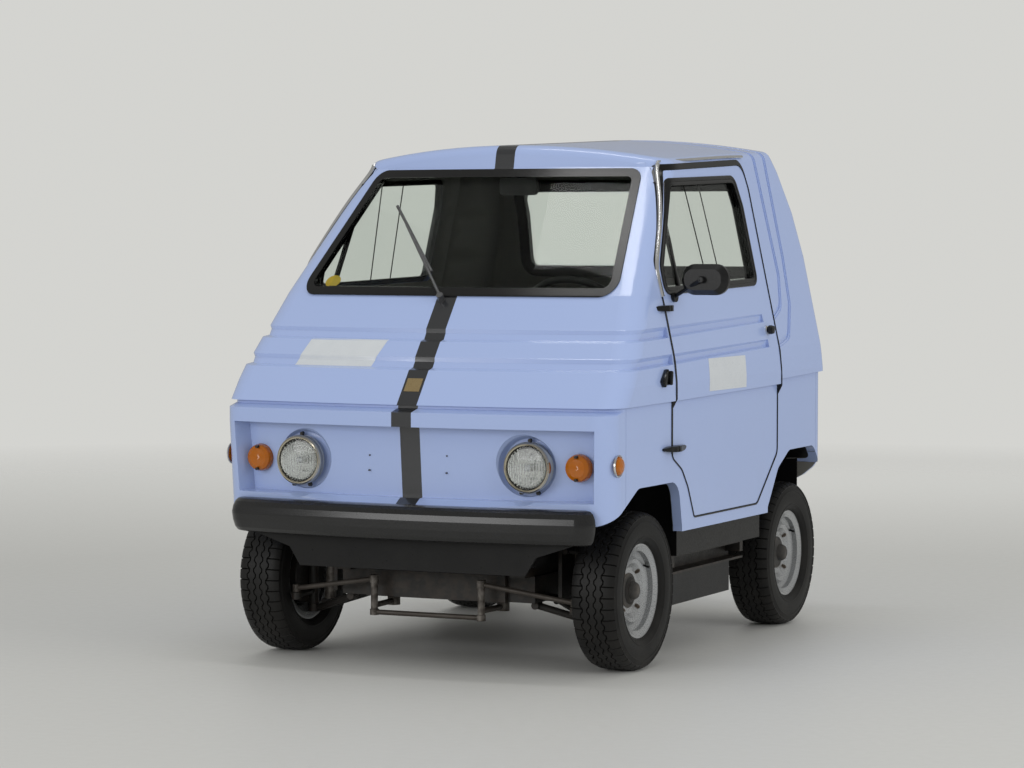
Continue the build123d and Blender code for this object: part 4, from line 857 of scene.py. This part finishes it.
def newLining(name, node, body):
    shape = bmesh.new()
    shape.from_mesh(nodes[node].data)
    shape.transform(nodes[node].matrix_world)
    bmesh.ops.remove_doubles(shape, verts=shape.verts, dist=1e-6)
    home = nodes[node].matrix_world.inverted()
    away = []
    for face in shape.faces:  # faces that don't see the cabin's middle are left out
        spot = face.calc_center_median() + face.normal * linings["start"]
        way = (linings["middle"] - spot).normalized()
        hidden = nodes[node].ray_cast(home @ spot, home.to_3x3() @ way, distance=linings["reach"])[0]
        if hidden or face.normal.dot(way) < linings["facing"]:
            away.append(face)
    bmesh.ops.delete(shape, geom=away, context="FACES")
    shape.normal_update()
    for vert in shape.verts:
        vert.co += vert.normal * linings["lift"]
    newPiece(name, shape, "liningCloth", body, mend=False)


for name, (node, body) in linings["pieces"].items():
    newLining(name, node, body)
print("linings made")

# rear window: the rubber frame seen from inside
rearFrame = {
    "margin": 0.006, "radius": 0.07, "reach": 0.04, "lift": 0.002, "levels": 12, "beyond": 0.02,
    "start": 0.3, "steps": [(0.0005, 0.007), (0.003, 0.003), (0.034, 0), (0.003, -0.003), (0.0005, -0.012)],
}


def newRearFrame():
    seal, wall = nodes["window_seals"], nodes["upper_body"]
    margin, beyond, last = rearFrame["margin"], rearFrame["beyond"], rearFrame["levels"] - 1
    spots = [seal.matrix_world @ vert.co for vert in seal.data.vertices]
    spots = [spot for spot in spots if spot.y > 0]
    half = max(spot.x for spot in spots) + margin
    low, high = min(spot.z for spot in spots) - margin, max(spot.z for spot in spots) + margin
    corners = [(-half, low), (half, low), (half, high), (-half, high)]
    shape = bmesh.new()
    face = bentFace(shape, corners, [rearFrame["radius"]] * 4, "front")
    cutLong(shape, face, rearFrame["reach"])
    steppedRing(shape, face, rearFrame["steps"])
    home = wall.matrix_world.inverted()
    table = []
    for number in range(rearFrame["levels"]):  # where the rear wall stands at each height
        z = low - beyond + (high - low + 2 * beyond) * number / last
        start = home @ Vector((half + beyond, rearFrame["start"], z))
        hit, place = wall.ray_cast(start, home.to_3x3() @ Vector((0, 1, 0)))[:2]
        if hit:
            table.append((z, (wall.matrix_world @ place).y))
    for vert in shape.verts:
        vert.co.y += levelValue(table, vert.co.z) + rearFrame["lift"]
    newPiece("rearWindowFrame", shape, "sealRubber")


newRearFrame()

# glass of the door mirror
mirrorGlass = {"points": [(0.69, 1.158), (0.794, 1.158), (0.794, 1.218), (0.69, 1.218)], "radius": 0.028,
               "front": -0.399, "rear": -0.3962}
shape = bmesh.new()
face = bentFace(shape, mirrorGlass["points"], [mirrorGlass["radius"]] * 4, "front")
bmesh.ops.reverse_faces(shape, faces=[face])
made = bmesh.ops.extrude_face_region(shape, geom=[face])["geom"]
for vert in shape.verts:
    vert.co.y = mirrorGlass["front"]
for vert in [one for one in made if isinstance(one, bmesh.types.BMVert)]:
    vert.co.y = mirrorGlass["rear"]
newPiece("mirrorGlass", shape, "mirrorFace", "door_left")

# seat cushions: blown up a little by a cloth simulation, then sewn with channels
cushions = {
    "voxel": 0.006, "shrink": 0.011, "cap": 0.024, "quality": 4, "pressure": 4.0, "frames": 20, "fill": 0.7,
    "pitch": 0.078, "channelWidth": 0.009, "channelDepth": 0.007, "channelReach": 2.1,
    "baseFacing": Vector((0, 0, 1)), "backFacing": Vector((0, -1, 0.2)).normalized(),
}


def seatIslands():  # the solids of the seat node on the left, as separate shapes
    shape = bmesh.new()
    shape.from_mesh(nodes["seats"].data)
    shape.transform(nodes["seats"].matrix_world)
    bmesh.ops.remove_doubles(shape, verts=shape.verts, dist=1e-5)
    left, islands = {vert for vert in shape.verts if vert.co.x > 0}, []
    while left:
        island, edge = set(), [left.pop()]
        while edge:
            vert = edge.pop()
            island.add(vert.index)
            found = {link.other_vert(vert) for link in vert.link_edges} & left
            left -= found
            edge += found
        islands.append(island)
    parts = [shape.copy() for island in islands]
    for part, island in zip(parts, islands):
        away = [vert for vert in part.verts if vert.index not in island]
        bmesh.ops.delete(part, geom=away, context="VERTS")
    shape.free()
    return sorted(parts, key=lambda part: max(vert.co.z for vert in part.verts))


def newCushion(name, part, facing):
    holder = addObject(name + "Core", meshFrom(name + "Core", part))
    remesh = holder.modifiers.new("voxels", "REMESH")
    remesh.mode = "VOXEL"
    remesh.voxel_size = cushions["voxel"]
    holder.data = evaluatedMesh(holder)
    holder.modifiers.clear()
    for vert in holder.data.vertices:
        vert.co -= vert.normal * cushions["shrink"]
    before = [vert.co.copy() for vert in holder.data.vertices]
    cloth = holder.modifiers.new("pad", "CLOTH")
    cloth.settings.quality = cushions["quality"]
    cloth.settings.use_pressure = True
    cloth.settings.uniform_pressure_force = cushions["pressure"]
    cloth.settings.effector_weights.gravity = 0
    cloth.point_cache.frame_start = 1
    cloth.point_cache.frame_end = cushions["frames"]
    for step in range(1, cushions["frames"] + 1):
        bpy.context.scene.frame_set(step)
    holder.data = evaluatedMesh(holder)
    holder.modifiers.clear()
    bpy.context.scene.frame_set(1)
    shape = bmesh.new()
    shape.from_mesh(holder.data)
    bpy.data.objects.remove(holder)
    shape.normal_update()
    middle = sum(vert.co.x for vert in shape.verts) / len(shape.verts)
    for vert, start in zip(shape.verts, before):
        move = vert.co - start
        if move.length > cushions["cap"]:
            vert.co = start + move.normalized() * cushions["cap"]
    shape.normal_update()
    sinks = []
    for vert in shape.verts:
        pitch, width = cushions["pitch"], cushions["channelWidth"]
        away = abs(((vert.co.x - middle) / pitch) % 1.0 - 0.5) * pitch
        front = max(vert.normal.dot(facing), 0.0)
        near = abs(vert.co.x - middle) < cushions["channelReach"] * pitch
        sinks.append(math.exp(-(away / width) ** 2) * front * near * cushions["channelDepth"])
    for vert, sink in zip(shape.verts, sinks):
        vert.co -= vert.normal * sink
    right = shape.copy()
    bmesh.ops.transform(right, matrix=Matrix.Diagonal((-1, 1, 1, 1)), verts=right.verts)
    bmesh.ops.reverse_faces(right, faces=right.faces[:])
    for label, one in (("left", shape), ("right", right)):
        piece = newPiece(f"{name}_{label}", one, "seatCloth", sharp=180, mend=False)
        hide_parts("seats")


seatBase, seatBack = seatIslands()
newCushion("seatBase", seatBase, cushions["baseFacing"])
newCushion("seatBack", seatBack, cushions["backFacing"])
print("cushions made")

# studio: pale floor that melts into the wall, even light and four soft lamps
studio = {
    "floorColour": (0.6, 0.6, 0.585), "floorRough": 0.5, "floorGrain": 30.0, "floorHalf": 12.0,
    "wallColour": (0.8, 0.8, 0.77), "worldStrength": 0.8, "glossStrength": 0.44, "seenStrength": 0.82,
    "fadeNear": 3.0, "fadeFar": 10.0,
}


def newStage():
    shape = bmesh.new()
    bmesh.ops.create_grid(shape, x_segments=1, y_segments=1, size=studio["floorHalf"])
    floor = addObject("studioFloor", meshFrom("studioFloor", shape))
    paint = newMaterial("floorPaint", {
        "colour": studio["floorColour"], "rough": studio["floorRough"], "fine": studio["floorGrain"]})
    tree = paint.node_tree
    place = addNode(tree, "ShaderNodeTexCoord")
    reach = addNode(tree, "ShaderNodeVectorMath", operation="LENGTH")
    tree.links.new(place.outputs["Object"], reach.inputs[0])
    fade = rampValue(tree, reach.outputs["Value"], studio["fadeNear"], studio["fadeFar"], 1.0, 0.0)
    feed(tree, tree.nodes["Principled BSDF"].inputs["Alpha"], fade)
    floor.data.materials.append(paint)


newStage()

world = bpy.data.worlds.new("studioWorld")
bpy.context.scene.world = world
world.use_nodes = True
worldTree = world.node_tree
background = worldTree.nodes["Background"]
background.inputs["Color"].default_value = (*studio["wallColour"], 1)
lightPath = addNode(worldTree, "ShaderNodeLightPath")
rays = lightPath.outputs
seen = mathNode(worldTree, "MAXIMUM", rays["Is Camera Ray"], rays["Is Transmission Ray"])
glossy = rampValue(worldTree, rays["Is Glossy Ray"], 0, 1, studio["worldStrength"], studio["glossStrength"])
seenPart = mathNode(worldTree, "MULTIPLY", seen, studio["seenStrength"])
restPart = mathNode(worldTree, "MULTIPLY", mathNode(worldTree, "SUBTRACT", 1.0, seen), glossy)
feed(worldTree, background.inputs["Strength"], mathNode(worldTree, "ADD", seenPart, restPart))

lamps = {
    "overheadLamp": {"place": (0, -0.5, 6), "aim": 0.8, "size": (3, 0.5), "power": 34, "shines": True},
    "frontLamp": {"place": (-2.5, -8, 2.6), "aim": 0.7, "size": (5, 2.4), "power": 165, "shines": True},
    "sideLamp": {"place": (7.5, -1.5, 2.6), "aim": 0.7, "size": (5, 2.4), "power": 185, "shines": False},
    "backLamp": {"place": (-2, 7.5, 3), "aim": 0.8, "size": (5, 3), "power": 70, "shines": False},
}
for name, lamp in lamps.items():
    data = bpy.data.lights.new(name, "AREA")
    data.shape = "RECTANGLE"
    data.size, data.size_y = lamp["size"]
    data.energy = lamp["power"]
    light = addObject(name, data)
    light.location = lamp["place"]
    way = Vector((0, 0, lamp["aim"])) - Vector(lamp["place"])
    light.rotation_euler = way.to_track_quat("-Z", "Y").to_euler()
    light.visible_camera = False
    light.visible_transmission = False
    light.visible_glossy = lamp["shines"]

# the camera of the photograph
photoCamera = {"place": (4.4476, -9.6024, 1.331), "turn": 25.404, "drop": 2.695, "roll": 0.05,
               "lens": 112.82, "sensor": 36, "far": 200}
turn, drop = math.radians(photoCamera["turn"]), math.radians(photoCamera["drop"])
back = Vector((math.sin(turn) * math.cos(drop), -math.cos(turn) * math.cos(drop), math.sin(drop)))
cameraData = bpy.data.cameras.new("photoCamera")
cameraData.sensor_width = photoCamera["sensor"]
cameraData.lens = photoCamera["lens"]
cameraData.clip_end = photoCamera["far"]
camera = addObject("photoCamera", cameraData)
aim = (-back).to_track_quat("-Z", "Y").to_matrix().to_4x4()
camera.matrix_world = Matrix.Translation(photoCamera["place"]) @ aim @ Matrix.Rotation(
    math.radians(photoCamera["roll"]), 4, "Z")
bpy.context.scene.camera = camera
bpy.context.scene.view_settings.view_transform = "Standard"
print("studio set")
